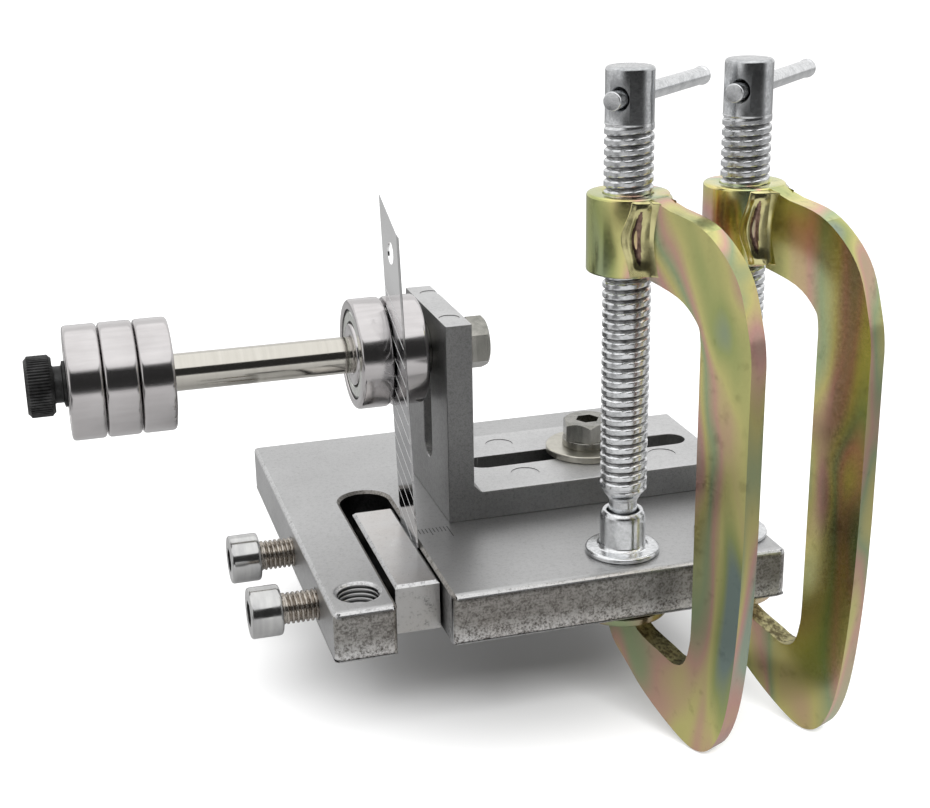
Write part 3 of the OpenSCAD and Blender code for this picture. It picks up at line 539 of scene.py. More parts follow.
def ringOf(bm, height, radii):
    # a ring of vertices round Z; a single radius of 0 gives one vertex on the axis
    turns = [2 * math.pi * k / len(radii) for k in range(len(radii))]
    return [bm.verts.new((r * math.cos(a), r * math.sin(a), height)) for r, a in zip(radii, turns)]


def stitch(bm, rings, closed=False):
    # faces from each ring to the next, and from the last to the first of a closed one
    pairs = list(zip(rings, rings[1:]))
    if closed:
        pairs.append((rings[-1], rings[0]))
    for low, high in pairs:
        count = max(len(low), len(high))
        for k in range(count if count > 1 else 0):
            after = (k + 1) % count
            if len(low) == 1:
                bm.faces.new((low[0], high[after], high[k]))
            elif len(high) == 1:
                bm.faces.new((low[k], low[after], high[0]))
            else:
                bm.faces.new((low[k], low[after], high[after], high[k]))
    bmesh.ops.recalc_face_normals(bm, faces=bm.faces)


def smoothedMesh(bm, name, place, degrees):
    bm.transform(place)
    mesh = meshOf(bm, name)
    shadeSmooth(mesh, degrees)
    return mesh


def latheMesh(name, profile, place, segments=96, closed=True):
    # profile is (radius, height); a closed one makes a ring, an open one ends on the axis
    bm = bmesh.new()
    rings = [ringOf(bm, height, [radius] * segments if radius > 1e-7 else [0.0])
             for radius, height in profile]
    stitch(bm, rings, closed)
    return smoothedMesh(bm, name, place, 50)


def standIn(name, mesh, look, node):
    # a piece in the place of one CAD node, on its body
    return addObject(name, mesh, look, bodyOf(node), (node,))


def ring(name, inner, outer, low, high, place, edge, look, node, segments=96):
    profile = rounded([(inner, low), (outer, low), (outer, high), (inner, high)], edge)
    return standIn(name, latheMesh(name, profile, place, segments), look, node)


def turned(name, outline, soft, place, look, node, steps=3, segments=96):
    # an outline turned round Z, with its corners rounded
    mesh = latheMesh(name, rounded(outline, soft, steps, closed=False), place, segments, closed=False)
    return standIn(name, mesh, look, node)


def cutAway(piece, cutterMesh):
    # take a cutter's shape out of a piece
    cutter = placed("cutter", cutterMesh)
    boolean = piece.modifiers.new("cut", "BOOLEAN")
    boolean.operation = "DIFFERENCE"
    boolean.solver = "EXACT"
    boolean.object = cutter
    applied(piece)
    bpy.data.objects.remove(cutter)
    shadeSmooth(piece.data, 40)


def cutSocket(piece, across, deep, place):
    # a hexagon socket, its size measured across the flats
    bm = bmesh.new()
    radius = across / 2 / math.cos(math.radians(30))
    bottom, top = ringOf(bm, -mm, [radius] * 6), ringOf(bm, deep, [radius] * 6)
    bm.faces.new(bottom[::-1])
    bm.faces.new(top)
    for k in range(6):
        after = (k + 1) % 6
        bm.faces.new((bottom[k], bottom[after], top[after], top[k]))
    bm.transform(place)
    cutAway(piece, meshOf(bm, "socket"))


def threadHeight(phase, crest=1.35):
    # height of a rolled thread, 0 at its root and 1 on its crest
    wave = 0.5 + 0.5 * math.cos(2 * math.pi * phase)
    return min(1.0, wave * crest) ** 0.85


def turnedThread(name, rows, place, segments=48, crest=1.35):
    # rows are (height, radius, thread depth, pitch), the thread cut into the radius as a helix
    bm = bmesh.new()
    rings = []
    for height, radius, depth, pitch in rows:
        radii = [0.0]
        if radius > 1e-7:
            phases = [height / pitch - k / segments for k in range(segments)]
            radii = [radius - depth * (1 - threadHeight(phase, crest)) for phase in phases]
        rings.append(ringOf(bm, height, radii))
    stitch(bm, rings)
    return smoothedMesh(bm, name, place, 55)


# base plate and blade block
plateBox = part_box("base_plate")
plateTopZ = plateBox[1].z
slot = {"left": -44 * mm, "right": -30 * mm, "end": 14 * mm, "wallFrom": -58 * mm,
        "hole": (-51.5 * mm, -49.3 * mm), "holeWall": 6 * mm, "holeRim": 7 * mm}
plateRim = 59 * mm    # beyond it lie the plate's outer faces


def fromHole(p):
    return math.hypot(p.x - slot["hole"][0], p.y - slot["hole"][1])


def plateLook(polygon):
    n, c = polygon.normal, polygon.center
    level = abs(n.z) < 0.5
    inSlot = slot["left"] - mm < c.x < slot["right"] + mm and c.y < slot["end"] + mm
    # slot walls take painted shade
    if level and inSlot and c.y > slot["wallFrom"]:
        return 3
    # the spare hole's wall takes its painted-shade thread
    if level and fromHole(c) < slot["holeWall"]:
        return 4
    if max(abs(n.x), abs(n.y), abs(n.z)) < 0.94:
        return 2 if abs(n.z) > 0.2 and not inSlot else 1
    return 1 if level and c.y < 0.05 and n.y < -0.9 else 0


def plateShare(edge):
    # broad rounding round the outer corners and below, none on the slot's own bevel or in the scale lines
    a, b = (v.co for v in edge.verts)
    middle = (a + b) / 2
    high = middle.z > plateTopZ - 2 * mm
    overSlot = slot["left"] - 2.5 * mm < middle.x < slot["right"] + 12 * mm
    if high and overSlot and -plateRim < middle.y < slot["end"] + 3 * mm:
        return 0.0
    if fromHole(middle) < slot["holeRim"]:
        return 0.2 if high else 0.0
    if abs(a.z - b.z) > 5 * mm:
        return 1.0 if abs(middle.y) > plateRim else 0.0
    if max(a.z, b.z) < mm:
        return 0.5 if max(abs(middle.x), abs(middle.y)) > plateRim else 0.0
    return 0.5 if middle.y < -plateRim else 0.2


def blockLook(polygon):
    n = polygon.normal
    # the block's sides, down in the slot, take the slot's painted shade
    if abs(n.x) > 0.8:
        return 1
    if n.y < -0.9:
        return 3
    return 2 if max(map(abs, n)) < 0.94 else 0


plate = softened("base_plate", "basePlate", 2.0 * mm,
                 ("plateTop", "plateFront", "plateBevel", "slotWallShaded", "threadWallShaded"), 4, plateLook, plateShare)
# a bevel can swell past a corner, so the plate is kept inside its own box
for vertex in plate.data.vertices:
    vertex.co = [min(max(vertex.co[k], plateBox[0][k]), plateBox[1][k]) for k in range(3)]
softened("blade_block", "bladeBlock", 0.36 * mm, ("blockTop", "slotWallShaded", "plateBevel", "blockFront"), 3,
         blockLook)
print("plate and block made")

# scale lines: painted shade, as dark strips that lie over the grooves
scale = {"lines": 10, "step": 1.0 * mm, "width": 0.3 * mm, "short": 3.0 * mm, "middle": 4.6 * mm,
         "long": 7.0 * mm, "gap": 1.5 * mm, "proud": 0.01 * mm, "thick": 0.06 * mm}


def makeScale():
    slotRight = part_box("blade")[1].x
    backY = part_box("fence_bracket")[0].y - scale["gap"]
    bm = bmesh.new()
    for i in range(1, scale["lines"] + 1):
        length = scale["long"] if i % 10 == 0 else scale["middle"] if i % 5 == 0 else scale["short"]
        x0 = slotRight + i * scale["step"]
        z = plateTopZ + scale["proud"]
        low = [(x0, backY - length), (x0 + scale["width"], backY - length), (x0 + scale["width"], backY),
               (x0, backY)]
        top = [bm.verts.new((x, y, z)) for x, y in low]
        bottom = [bm.verts.new((x, y, z - scale["thick"])) for x, y in low]
        bm.faces.new(top)
        bm.faces.new(bottom[::-1])
        for k in range(4):
            bm.faces.new((top[k], bottom[k], bottom[(k + 1) % 4], top[(k + 1) % 4]))
    bmesh.ops.recalc_face_normals(bm, faces=bm.faces)
    addObject("scaleLines", meshOf(bm, "scaleLines"), "scaleMark", "base")


makeScale()


# block screws
blockScrew = {"pitch": 1.25 * mm, "depth": 0.62 * mm, "headEdge": 1.0 * mm, "socket": 6 * mm,
              "socketDeep": 4 * mm, "headLength": 8 * mm, "threadR": 4 * mm}


def makeBlockScrew(node, name):
    low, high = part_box(node)
    centre = (low + high) / 2
    headR = (high.y - low.y) / 2
    threadR = blockScrew["threadR"]
    length = high.x - low.x
    place = turnTo(xAxis, (low.x, centre.y, centre.z))
    head = blockScrew["headLength"]
    profile = rounded([(0, 0), (headR - 0.3 * mm, 0), (headR, 0.5 * mm), (headR, head), (threadR, head)],
                      blockScrew["headEdge"], 4, closed=False)
    pitch = blockScrew["pitch"]
    rows = [(h, r, 0, pitch) for r, h in profile]
    rows.append((head + 0.2 * mm, threadR * 0.93, 0, pitch))
    count = int((length - head - 1.0 * mm) / pitch * 10)
    start = head + 0.3 * mm
    for i in range(count + 1):
        height = start + (length - 0.8 * mm - start) * i / count
        fade = min(1.0, i / 12, (count - i) / 8 + 0.25)
        rows.append((height, threadR, blockScrew["depth"] * fade, pitch))
    rows += [(length, threadR * 0.82, 0, pitch), (length, 0, 0, pitch)]
    mesh = turnedThread(name, rows, place, 56)
    piece = standIn(name, mesh, ("stainless", "threadSteel"), node)
    for polygon in mesh.polygons:
        polygon.material_index = 1 if polygon.center.x > low.x + head + 0.1 * mm else 0
    cutSocket(piece, blockScrew["socket"], blockScrew["socketDeep"], place)


makeBlockScrew("block_screw_front", "blockScrewFront")
makeBlockScrew("block_screw_rear", "blockScrewRear")
print("block screws made")


# fence, its bolt and washers
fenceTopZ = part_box("fence_bracket")[1].z
fenceFootZ = plateTopZ + 8 * mm    # the foot is 8 mm thick


def inMark(p):
    # the shallow round marks lie just under the fence's upper faces
    return any(-0.2 * mm < z - p.z < 0.2 * mm for z in (fenceTopZ, fenceFootZ))


def fenceShare(edge):
    a, b = (v.co for v in edge.verts)
    small = (a - b).length < 1.2 * mm
    return 0.0 if small and inMark(a) and inMark(b) else 1.0


def fenceLook(polygon):
    # the small walls of the shallow marks take painted shade
    low = abs(polygon.normal.z) < 0.5 and inMark(polygon.center) and polygon.area < 1e-6
    # upward faces take the copy with painted light
    return 1 if low else 2 if polygon.normal.z > 0.9 else 0


softened("fence_bracket", "fenceBracket", 0.25 * mm, ("fenceCast", "paintedGrooveShade", "fenceTop"), 2, fenceLook,
         fenceShare)
for node, name in (("fence_bolt", "fenceBolt"), ("spindle_bolt", "spindleBolt"),
                   ("fence_lock_washer", "fenceLockWasher"), ("spindle_lock_washer", "spindleLockWasher")):
    softened(node, name, 0.18 * mm, "boltSteel", 2)


washer = {"bore": 4.2 * mm, "lift": 0.03 * mm, "edge": 0.45 * mm, "hiddenEdge": 0.3 * mm}


def makeWashers():
    low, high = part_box("fence_washer")
    centre = (low + high) / 2
    place = turnTo(zAxis, (centre.x, centre.y, low.z))
    # a hair above the fence's foot, so that the two faces never share a plane
    ring("fenceWasher", washer["bore"], (high.x - low.x) / 2, washer["lift"], high.z - low.z, place,
         washer["edge"], "washerZinc", "fence_washer", 128)
    place, outer, length = alongX("spindle_washer")
    ring("spindleWasher", washer["bore"], outer, 0, length, place, washer["hiddenEdge"], "washerZinc",
         "spindle_washer")


makeWashers()
print("fence made")


# spindle, rollers and their insides
bearing = {"bore": 5.02 * mm, "innerR": 8.4 * mm, "outerShoulder": 11.6 * mm, "holdR": 12.3 * mm,
           "edge": 1.35 * mm, "shieldIn": 0.3 * mm, "shieldT": 0.5 * mm, "pitchR": 10 * mm,
           "trackR": 2.41 * mm, "rimR": 11.8 * mm, "lipR": 9.0 * mm, "dishR": 8.7 * mm,
           "stepR": 9.5 * mm}


def makeRoller(n):
    low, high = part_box(f"roller_outer_ring_{n}")
    centre = (low + high) / 2
    half, outer = (high.x - low.x) / 2, (high.z - low.z) / 2
    place = turnTo(xAxis, centre)
    b = bearing
    seat = half - b["shieldIn"] - b["shieldT"]
    arc = [math.radians(46 - 92 * k / 10) for k in range(11)]
    groove = [(b["outerShoulder"], seat)] + [
        (b["pitchR"] + b["trackR"] * math.cos(a), b["trackR"] * math.sin(a)) for a in arc] + [
        (b["outerShoulder"], -seat)]
    outline = groove + [(b["holdR"], -seat), (b["holdR"], -half), (outer, -half), (outer, half),
                        (b["holdR"], half), (b["holdR"], seat)]
    # round only the corners on the outside
    shaped = groove + rounded(outline[len(groove):], b["edge"], 4, closed=False)
    name = f"outerRing{n}"
    standIn(name, latheMesh(name, shaped, place, 128), "bearing", f"roller_outer_ring_{n}")

    lowIn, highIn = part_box(f"roller_inner_ring_{n}")
    halfIn = (highIn.x - lowIn.x) / 2
    track = [(b["pitchR"] - b["trackR"] * math.cos(a), b["trackR"] * math.sin(a)) for a in arc]
    inner = [(b["bore"], -halfIn + 0.4 * mm), (b["bore"] + 0.4 * mm, -halfIn),
             (b["innerR"] - 0.3 * mm, -halfIn), (b["innerR"], -halfIn + 0.3 * mm)] + track[::-1] + [
             (b["innerR"], halfIn - 0.3 * mm), (b["innerR"] - 0.3 * mm, halfIn),
             (b["bore"] + 0.4 * mm, halfIn), (b["bore"], halfIn - 0.4 * mm)]
    name = f"innerRing{n}"
    standIn(name, latheMesh(name, inner, place), "bearing", f"roller_inner_ring_{n}")

    bm = bmesh.new()
    for side in (-1, 1):
        face = half - b["shieldIn"]
        # pressed shield: rolled rim, flat web, dished lip at the inner ring
        rim, dish, step = b["holdR"], b["dishR"], b["stepR"]
        web = [(rim - 0.05 * mm, face - 0.35 * mm), (rim - 0.25 * mm, face - 0.05 * mm),
               (rim - 0.6 * mm, face - 0.38 * mm), (rim - 0.95 * mm, face - 0.05 * mm), (step, face),
               (step - 0.35 * mm, face - 0.22 * mm), (dish, face - 0.26 * mm), (dish, face - 0.48 * mm),
               (dish + 0.5 * mm, face - 0.46 * mm), (step + 0.1 * mm, face - 0.3 * mm),
               (rim - 1.1 * mm, face - 0.3 * mm), (rim - 0.6 * mm, face - 0.5 * mm),
               (rim - 0.05 * mm, face - 0.5 * mm)]
        shaped = [(r, side * h) for r, h in rounded(web, 0.08 * mm, 2)]
        bm.from_mesh(latheMesh("shieldHalf", shaped, place, 96))
    mesh = meshOf(bm, f"shields{n}")
    shadeSmooth(mesh, 50)
    standIn(f"shields{n}", mesh, ("bearingShield", "paintedGrooveShade"), f"roller_shields_{n}")
    # the shield's rolled rim and dished lip, by the rings, take painted shade
    for polygon in mesh.polygons:
        reach = math.hypot(polygon.center.y - centre.y, polygon.center.z - centre.z)
        polygon.material_index = 1 if reach > b["rimR"] or reach < b["lipR"] else 0


for n in range(1, 6):
    makeRoller(n)
    for node, look in ((f"ball_cage_{n}", "cageBrass"), (f"balls_{n}", "ball")):
        materials = frame["nodes"][node].data.materials
        materials.clear()
        materials.append(looks[look])
print("rollers made")


spindle = {"threadBore": 3.05 * mm, "edge": 0.4 * mm, "sleeveBore": 5.02 * mm, "sleeveEdge": 0.12 * mm}


def makeSpindle():
    place, radius, length = alongX("spindle_rod")
    ring("spindleRod", spindle["threadBore"], radius, 0, length, place, spindle["edge"], "rod", "spindle_rod")
    for node, name in (("spindle_spacer", "spindleSpacer"), ("roller_shim", "rollerShim")):
        place, outer, length = alongX(node)
        ring(name, spindle["sleeveBore"], outer, 0, length, place, spindle["sleeveEdge"], "boltSteel", node)


makeSpindle()

endScrew = {"knurls": 60, "rise": 0.38 * mm, "bevel": 0.9 * mm, "neckR": 6 * mm, "neckL": 3.2 * mm,
            "headL": 7 * mm, "threadR": 3 * mm, "socket": 5 * mm, "socketDeep": 4 * mm}


def makeEndScrew():
    place, headR, length = alongX("end_screw")
    e, perKnurl = endScrew, 6
    flat = headR - e["rise"] - 0.1 * mm
    neckLow, neckHigh = e["headL"], e["headL"] + e["neckL"]
    # straight knurl: the head's radius rises and falls round its girth and fades at the bevels
    rows = [(0, 0, 0), (headR - e["bevel"] * 1.2, 0, 0), (flat, e["bevel"] * 0.7, 0),
            (headR, e["bevel"], 1), (headR, neckLow - e["bevel"], 1), (flat, neckLow - e["bevel"] * 0.6, 0),
            (headR - e["bevel"], neckLow, 0), (e["neckR"] * 0.84, neckLow, 0),
            (e["neckR"] * 0.80, neckLow + 0.3 * mm, 0), (e["neckR"] * 0.80, neckHigh - 1.0 * mm, 0),
            (e["neckR"], neckHigh - 0.7 * mm, 0), (e["neckR"], neckHigh - 0.1 * mm, 0),
            (e["neckR"] - 0.1 * mm, neckHigh, 0), (e["threadR"], neckHigh, 0),
            (e["threadR"], length - 0.5 * mm, 0), (e["threadR"] - 0.5 * mm, length, 0), (0, length, 0)]
    bm = bmesh.new()
    rings = []
    for radius, height, cut in rows:
        radii = [0.0]
        if radius > 1e-7:
            teeth = [abs((k / perKnurl) % 1.0 - 0.5) * 2 for k in range(e["knurls"] * perKnurl)]
            radii = [radius - cut * e["rise"] * (1 - min(1.0, tooth * 1.6)) for tooth in teeth]
        rings.append(ringOf(bm, height, radii))
    stitch(bm, rings)
    mesh = smoothedMesh(bm, "endScrew", place, 30)
    piece = standIn("endScrew", mesh, "blackOxide", "end_screw")
    cutSocket(piece, e["socket"], e["socketDeep"], place)
    shadeSmooth(piece.data, 30)


makeEndScrew()
print("spindle made")


# blade: a thin leaf with a ground edge and scored lines, drawn in its own leaning plane
blade = {"thick": 0.5 * mm, "wide": 18 * mm, "edge": 0.1 * mm, "ground": 1.4 * mm, "slant": math.radians(30),
         "lean": math.radians(8), "step": 5 * mm, "scoreHalf": 0.28 * mm, "scoreDeep": 0.07 * mm,
         "holeR": 3 * mm, "holeIn": 9.9 * mm, "sunk": 8.6 * mm, "length": 100 * mm, "edgeY": -27 * mm}


def makeBlade():
    b = blade
    rise = b["wide"] * math.tan(b["slant"])
    foot = -b["sunk"] / math.cos(b["lean"])
    top = foot + b["length"] - rise
    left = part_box("blade")[0].x
    half = (b["thick"] - b["edge"]) / 2
    stations = [(foot, 0.0)]
    for i in range(1, int((top - foot - 2 * b["holeIn"]) / b["step"]) + 1):
        s = foot + i * b["step"]
        stations += [(s - b["scoreHalf"], 0.0), (s, b["scoreDeep"]), (s + b["scoreHalf"], 0.0)]
    stations.append((top, 0.0))
    bm = bmesh.new()
    rows = []
    for s, deep in stations:
        outline = [(half, 0.0), (deep, b["ground"]), (deep, b["wide"]), (b["thick"], b["wide"]),
                   (b["thick"], b["ground"]), (b["thick"] - half, 0.0)]
        rows.append([bm.verts.new((x, a, s + a * math.tan(b["slant"]))) for x, a in outline])
    for i, (low, high) in enumerate(zip(rows, rows[1:])):
        scored = stations[i][1] > 0 or stations[i + 1][1] > 0
        for k in range(6):
            after = (k + 1) % 6
            face = bm.faces.new((low[k], high[k], high[after], low[after]))
            face.material_index = 1 if k in (0, 4) else 2 if k == 1 and scored else 0
    bm.faces.new(rows[0])
    bm.faces.new(rows[-1][::-1])
    bmesh.ops.recalc_face_normals(bm, faces=bm.faces)
    place = Matrix.Translation((left, b["edgeY"], plateTopZ)) @ Matrix.Rotation(-b["lean"], 4, "X")
    bm.transform(place)
    piece = standIn("bladeLeaf", meshOf(bm, "bladeLeaf"), ("blade", "bladeEdge", "bladeScore"), "blade")
    centre = place @ Vector((b["thick"] / 2, b["wide"] / 2, top + rise / 2 - b["holeIn"]))
    cutAway(piece, latheMesh("hole", [(0, -2 * mm), (b["holeR"], -2 * mm), (b["holeR"], 2 * mm), (0, 2 * mm)],
                             turnTo(xAxis, centre), 48, closed=False))
    shadeSmooth(piece.data, 8)


makeBlade()
print("blade made")


# clamps
clamp = {"frameEdge": 0.9 * mm, "collarEdge": 0.7 * mm, "collarBore": 6.06 * mm, "screwR": 6 * mm,
         "pitch": 2.5 * mm, "threadDeep": 0.75 * mm, "threadLow": 31.4 * mm, "threadHigh": 124.5 * mm,
         "neckR": 3.65 * mm, "neckLow": 27.0 * mm, "headR": 5.9 * mm, "headEdge": 0.9 * mm,
         "ballR": 4.4 * mm, "crossIn": 7.2 * mm, "holeR": 2.3 * mm, "flare": 0.95 * mm, "barR": 2.2 * mm,
         "beadR": 2.45 * mm, "barNear": -9.5 * mm, "barFar": 42 * mm, "padLip": 0.8 * mm,
         "frameTurn": math.radians(-65), "frameT": 5.5 * mm,
         "barTurn": {"front": math.radians(41.5), "rear": math.radians(42.5)}}
frameOut = Vector((math.cos(clamp["frameTurn"]), math.sin(clamp["frameTurn"]), 0))
foot = {"drop": 1.6 * mm, "flangeEdge": 0.4 * mm, "cupR": 5.9 * mm, "rimR": 4.7 * mm, "mouthR": 4.05 * mm,
        "ballRoomR": 4.6 * mm, "ballRoomTop": 7.6 * mm, "ballRoomLow": 5.2 * mm, "floor": 1.4 * mm,
        "soft": 0.35 * mm}


def makeFoot(which, axis):
    low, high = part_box(f"clamp_{which}_foot")
    r = (high.x - low.x) / 2
    h = high.z - low.z
    place = turnTo(zAxis, (axis.x, axis.y, low.z))
    f = foot
    top, cupR, rimR, mouthR = h - f["drop"], f["cupR"], f["rimR"], f["mouthR"]
    # flange, small fillet, drawn cup, rolled-in rim, hollow for the ball
    outline = [(0, 0), (r - f["flangeEdge"], 0), (r, f["flangeEdge"]), (r, 1.2 * mm), (r - 0.5 * mm, 1.6 * mm),
               (cupR + 0.8 * mm, 1.75 * mm), (cupR + 0.05 * mm, 2.4 * mm), (cupR, top - 2.4 * mm),
               (cupR - 0.2 * mm, top - 1.0 * mm), (rimR + 0.4 * mm, top - 0.1 * mm), (rimR, top),
               (rimR - 0.5 * mm, top - 0.3 * mm), (mouthR, top - 1.0 * mm),
               (mouthR, f["ballRoomTop"] + 1.6 * mm), (f["ballRoomR"], f["ballRoomTop"]),
               (f["ballRoomR"], f["ballRoomLow"]), (f["ballRoomR"] - 1.4 * mm, f["ballRoomLow"] - 2.5 * mm),
               (0, f["floor"])]
    turned(f"clampFoot{which.capitalize()}", outline, f["soft"], place, "brightZinc", f"clamp_{which}_foot")


def makeClampScrew(which, axis):
    c = clamp
    low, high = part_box(f"clamp_{which}_screw")
    top = high.z
    place = turnTo(zAxis, (axis.x, axis.y, 0))
    pitch = c["pitch"]
    ballZ = low.z + c["ballR"]
    rows = [(low.z, 0, 0, pitch)]
    for k in range(1, 9):
        angle = math.radians(-90 + 145 * k / 8)
        radius = c["ballR"] * math.cos(angle)
        if k == 8:
            radius = c["neckR"]
        rows.append((ballZ + c["ballR"] * math.sin(angle), radius, 0, pitch))
    rows += [(c["neckLow"] + 0.8 * mm, c["neckR"], 0, pitch)]
    steps = 10
    for k in range(1, steps + 1):
        t = k / steps
        rows.append((c["neckLow"] + 0.8 * mm + (c["threadLow"] - c["neckLow"] - 0.8 * mm) * t,
                     c["neckR"] + (c["screwR"] - c["neckR"]) * t ** 1.25, c["threadDeep"] * 0.45 * t, pitch))
    count = int((c["threadHigh"] - c["threadLow"]) / pitch * 12)
    for i in range(1, count + 1):
        height = c["threadLow"] + (c["threadHigh"] - c["threadLow"]) * i / count
        fade = min(1.0, 0.45 + i / 24, (count - i) / 10)
        rows.append((height, c["screwR"] - (0.1 * mm if i == count else 0), c["threadDeep"] * fade, pitch))
    e = c["headEdge"]
    for k in range(0, 5):
        angle = math.radians(90 * k / 4)
        rows.append((top - e + e * math.sin(angle), c["headR"] - e + e * math.cos(angle), 0, pitch))
    rows += [(top, c["headR"] * 0.5, 0, pitch), (top, 0, 0, pitch)]
    mesh = turnedThread(f"clampScrew{which}", rows, place, 64, 1.9)
    piece = standIn(f"clampScrew{which.capitalize()}", mesh, ("brightZinc", "threadRootShade", "headZincShaded"),
                    f"clamp_{which}_screw")
    # the head takes the painted-shade copy of the zinc, the thread's roots their painted shade
    for polygon in mesh.polygons:
        p = polygon.center
        groove = math.hypot(p.x - axis.x, p.y - axis.y) < c["screwR"] - 0.62 * c["threadDeep"]
        polygon.material_index = (2 if p.z > c["threadHigh"] else
                                  1 if groove and c["threadLow"] < p.z < c["threadHigh"] - mm else 0)
    along = Vector((math.cos(c["barTurn"][which]), math.sin(c["barTurn"][which]), 0))
    crossZ = top - c["crossIn"]
    hole = turnTo(along, (axis.x, axis.y, crossZ))
    r, far, flare = c["holeR"], 9 * mm, c["flare"]
    mouth = c["headR"] - flare
    profile = [(0, -far), (r + flare * 3.3, -far), (r, -mouth), (r, mouth), (r + flare * 3.3, far), (0, far)]
    cutAway(piece, latheMesh("hole", profile, hole, 48, closed=False))
    return along, crossZ


def makeBar(which, axis, along, crossZ):
    c = clamp
    shortEnd, longEnd = c["barNear"], c["barFar"]
    place = turnTo(along, (axis.x, axis.y, crossZ))
    r, bead = c["barR"], c["beadR"]
    outline = [(0, shortEnd), (r, shortEnd), (r + 0.1 * mm, shortEnd + 0.4 * mm), (r, shortEnd + 1.6 * mm),
               (r, longEnd - 2.4 * mm), (bead, longEnd - 1.6 * mm), (bead, longEnd - 0.6 * mm),
               (bead - 0.6 * mm, longEnd), (0, longEnd)]
    turned(f"clampBar{which.capitalize()}", outline, 0.5 * mm, place, "brightZinc", f"clamp_{which}_bar", 4,
           48)


weld = {"wide": 7.5 * mm, "rows": 56, "across": 30, "sunk": 0.15 * mm, "thin": 0.12, "heel": 1.5,
        "hollow": 0.35, "brim": 0.25, "heap": 0.5}    # the last five in mm


def makeWeld(which, axis):
    # an uneven fillet on each side of the frame, hollow and dark in the middle, heaped at its ends
    low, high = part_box(f"clamp_{which}_collar")
    radius = (high.x - low.x) / 2
    side = Vector((-frameOut.y, frameOut.x, 0))
    halfT = clamp["frameT"] / 2
    corner = math.asin(halfT / radius)
    centre = Vector((axis.x, axis.y, 0))
    random.seed(7 if which == "front" else 11)
    shift = random.uniform(0, 1)
    rows, across = weld["rows"], weld["across"]
    bm = bmesh.new()
    for hand in (-1, 1):
        grid = []
        for i in range(rows + 1):
            t = i / rows
            z = low.z + 0.4 * mm + (high.z - low.z - 0.8 * mm) * t
            swell = 0.62 + 0.32 * math.sin(math.pi * t) ** 1.2 + 0.03 * math.sin(t * 11 + 6 * shift)
            start = corner + weld["wide"] * swell / radius
            ends = math.exp(-((t - 0.1) / 0.08) ** 2) + math.exp(-((t - 0.9) / 0.07) ** 2)
            full = 0.3 + 0.7 * abs(2 * t - 1) ** 1.6
            line = []
            for j in range(across + 1):
                u = j / across
                turn = start + (corner - start) * u
                hollow = math.exp(-((u - 0.52) / 0.13) ** 2) * math.sin(math.pi * t) ** 0.6
                brim = math.exp(-((u - 0.27) / 0.08) ** 2) * math.sin(math.pi * t)
                thick = (weld["thin"] + weld["heel"] * u ** 1.5 * full - weld["hollow"] * hollow +
                         weld["brim"] * brim + weld["heap"] * ends * math.sin(math.pi * u) ** 1.6) * mm
                if j == 0 or i in (0, rows):
                    thick = -weld["sunk"]
                x, y = (radius + thick) * math.cos(turn), (radius + thick) * math.sin(turn)
                if j == across:
                    x, y = x + (0.5 + 1.4 * full) * mm, halfT - 0.1 * mm
                line.append(bm.verts.new(centre + frameOut * x + side * y * hand + zAxis * z))
            grid.append(line)
        for i, (a, b) in enumerate(zip(grid, grid[1:])):
            for j in range(across):
                corners = (a[j], a[j + 1], b[j + 1], b[j])
                face = bm.faces.new(corners if hand < 0 else corners[::-1])
                u, t = (j + 0.5) / across, (i + 0.5) / rows
                face.material_index = 1 if ((u - 0.52) / 0.15) ** 2 + ((t - 0.52) / 0.36) ** 2 < 1 else 0
    mesh = meshOf(bm, f"weld{which}")
    shadeSmooth(mesh, 80)
    addObject(f"clampWeld{which.capitalize()}", mesh, ("weld", "weldCore"), f"clamp_{which}_jaw")


def frameLook(polygon):
    # rough sheared inner edge below the plate, painted darker as shade under the plate; painted light and
    # shade on a band down the outer edge
    if polygon.center.z < 0 and polygon.normal.z > 0.25:
        return 1
    return 2 if polygon.normal.dot(frameOut) > 0.5 else 0


def makeClamp(which, look):
    c = clamp
    low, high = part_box(f"clamp_{which}_collar")
    axis = (low + high) / 2
    place = turnTo(zAxis, (axis.x, axis.y, low.z))
    softened(f"clamp_{which}_frame", f"clampFrame{which.capitalize()}", c["frameEdge"],
             (look, "zincShornShaded", "zincEdgePaintedLight"), 4, frameLook)
    ring(f"clampCollar{which.capitalize()}", c["collarBore"], (high.x - low.x) / 2, 0, high.z - low.z, place,
         c["collarEdge"], look, f"clamp_{which}_collar")
    padLow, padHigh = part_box(f"clamp_{which}_pad")
    padR = (padHigh.x - padLow.x) / 2
    padPlace = turnTo(zAxis, (axis.x, axis.y, padLow.z))
    thick = padHigh.z - padLow.z
    outline = [(0, 0), (padR - 0.6 * mm, 0), (padR, 0.4 * mm), (padR, thick - c["padLip"]),
               (padR - 1.6 * mm, thick - c["padLip"] + 0.2 * mm), (padR - 1.8 * mm, thick), (0, thick)]
    turned(f"clampPad{which.capitalize()}", outline, 0.3 * mm, padPlace, look, f"clamp_{which}_pad")
    makeWeld(which, axis)
    makeFoot(which, axis)
    along, crossZ = makeClampScrew(which, axis)
    makeBar(which, axis, along, crossZ)


makeClamp("front", "yellowZinc")
makeClamp("rear", "yellowZincRear")
print("clamps made")


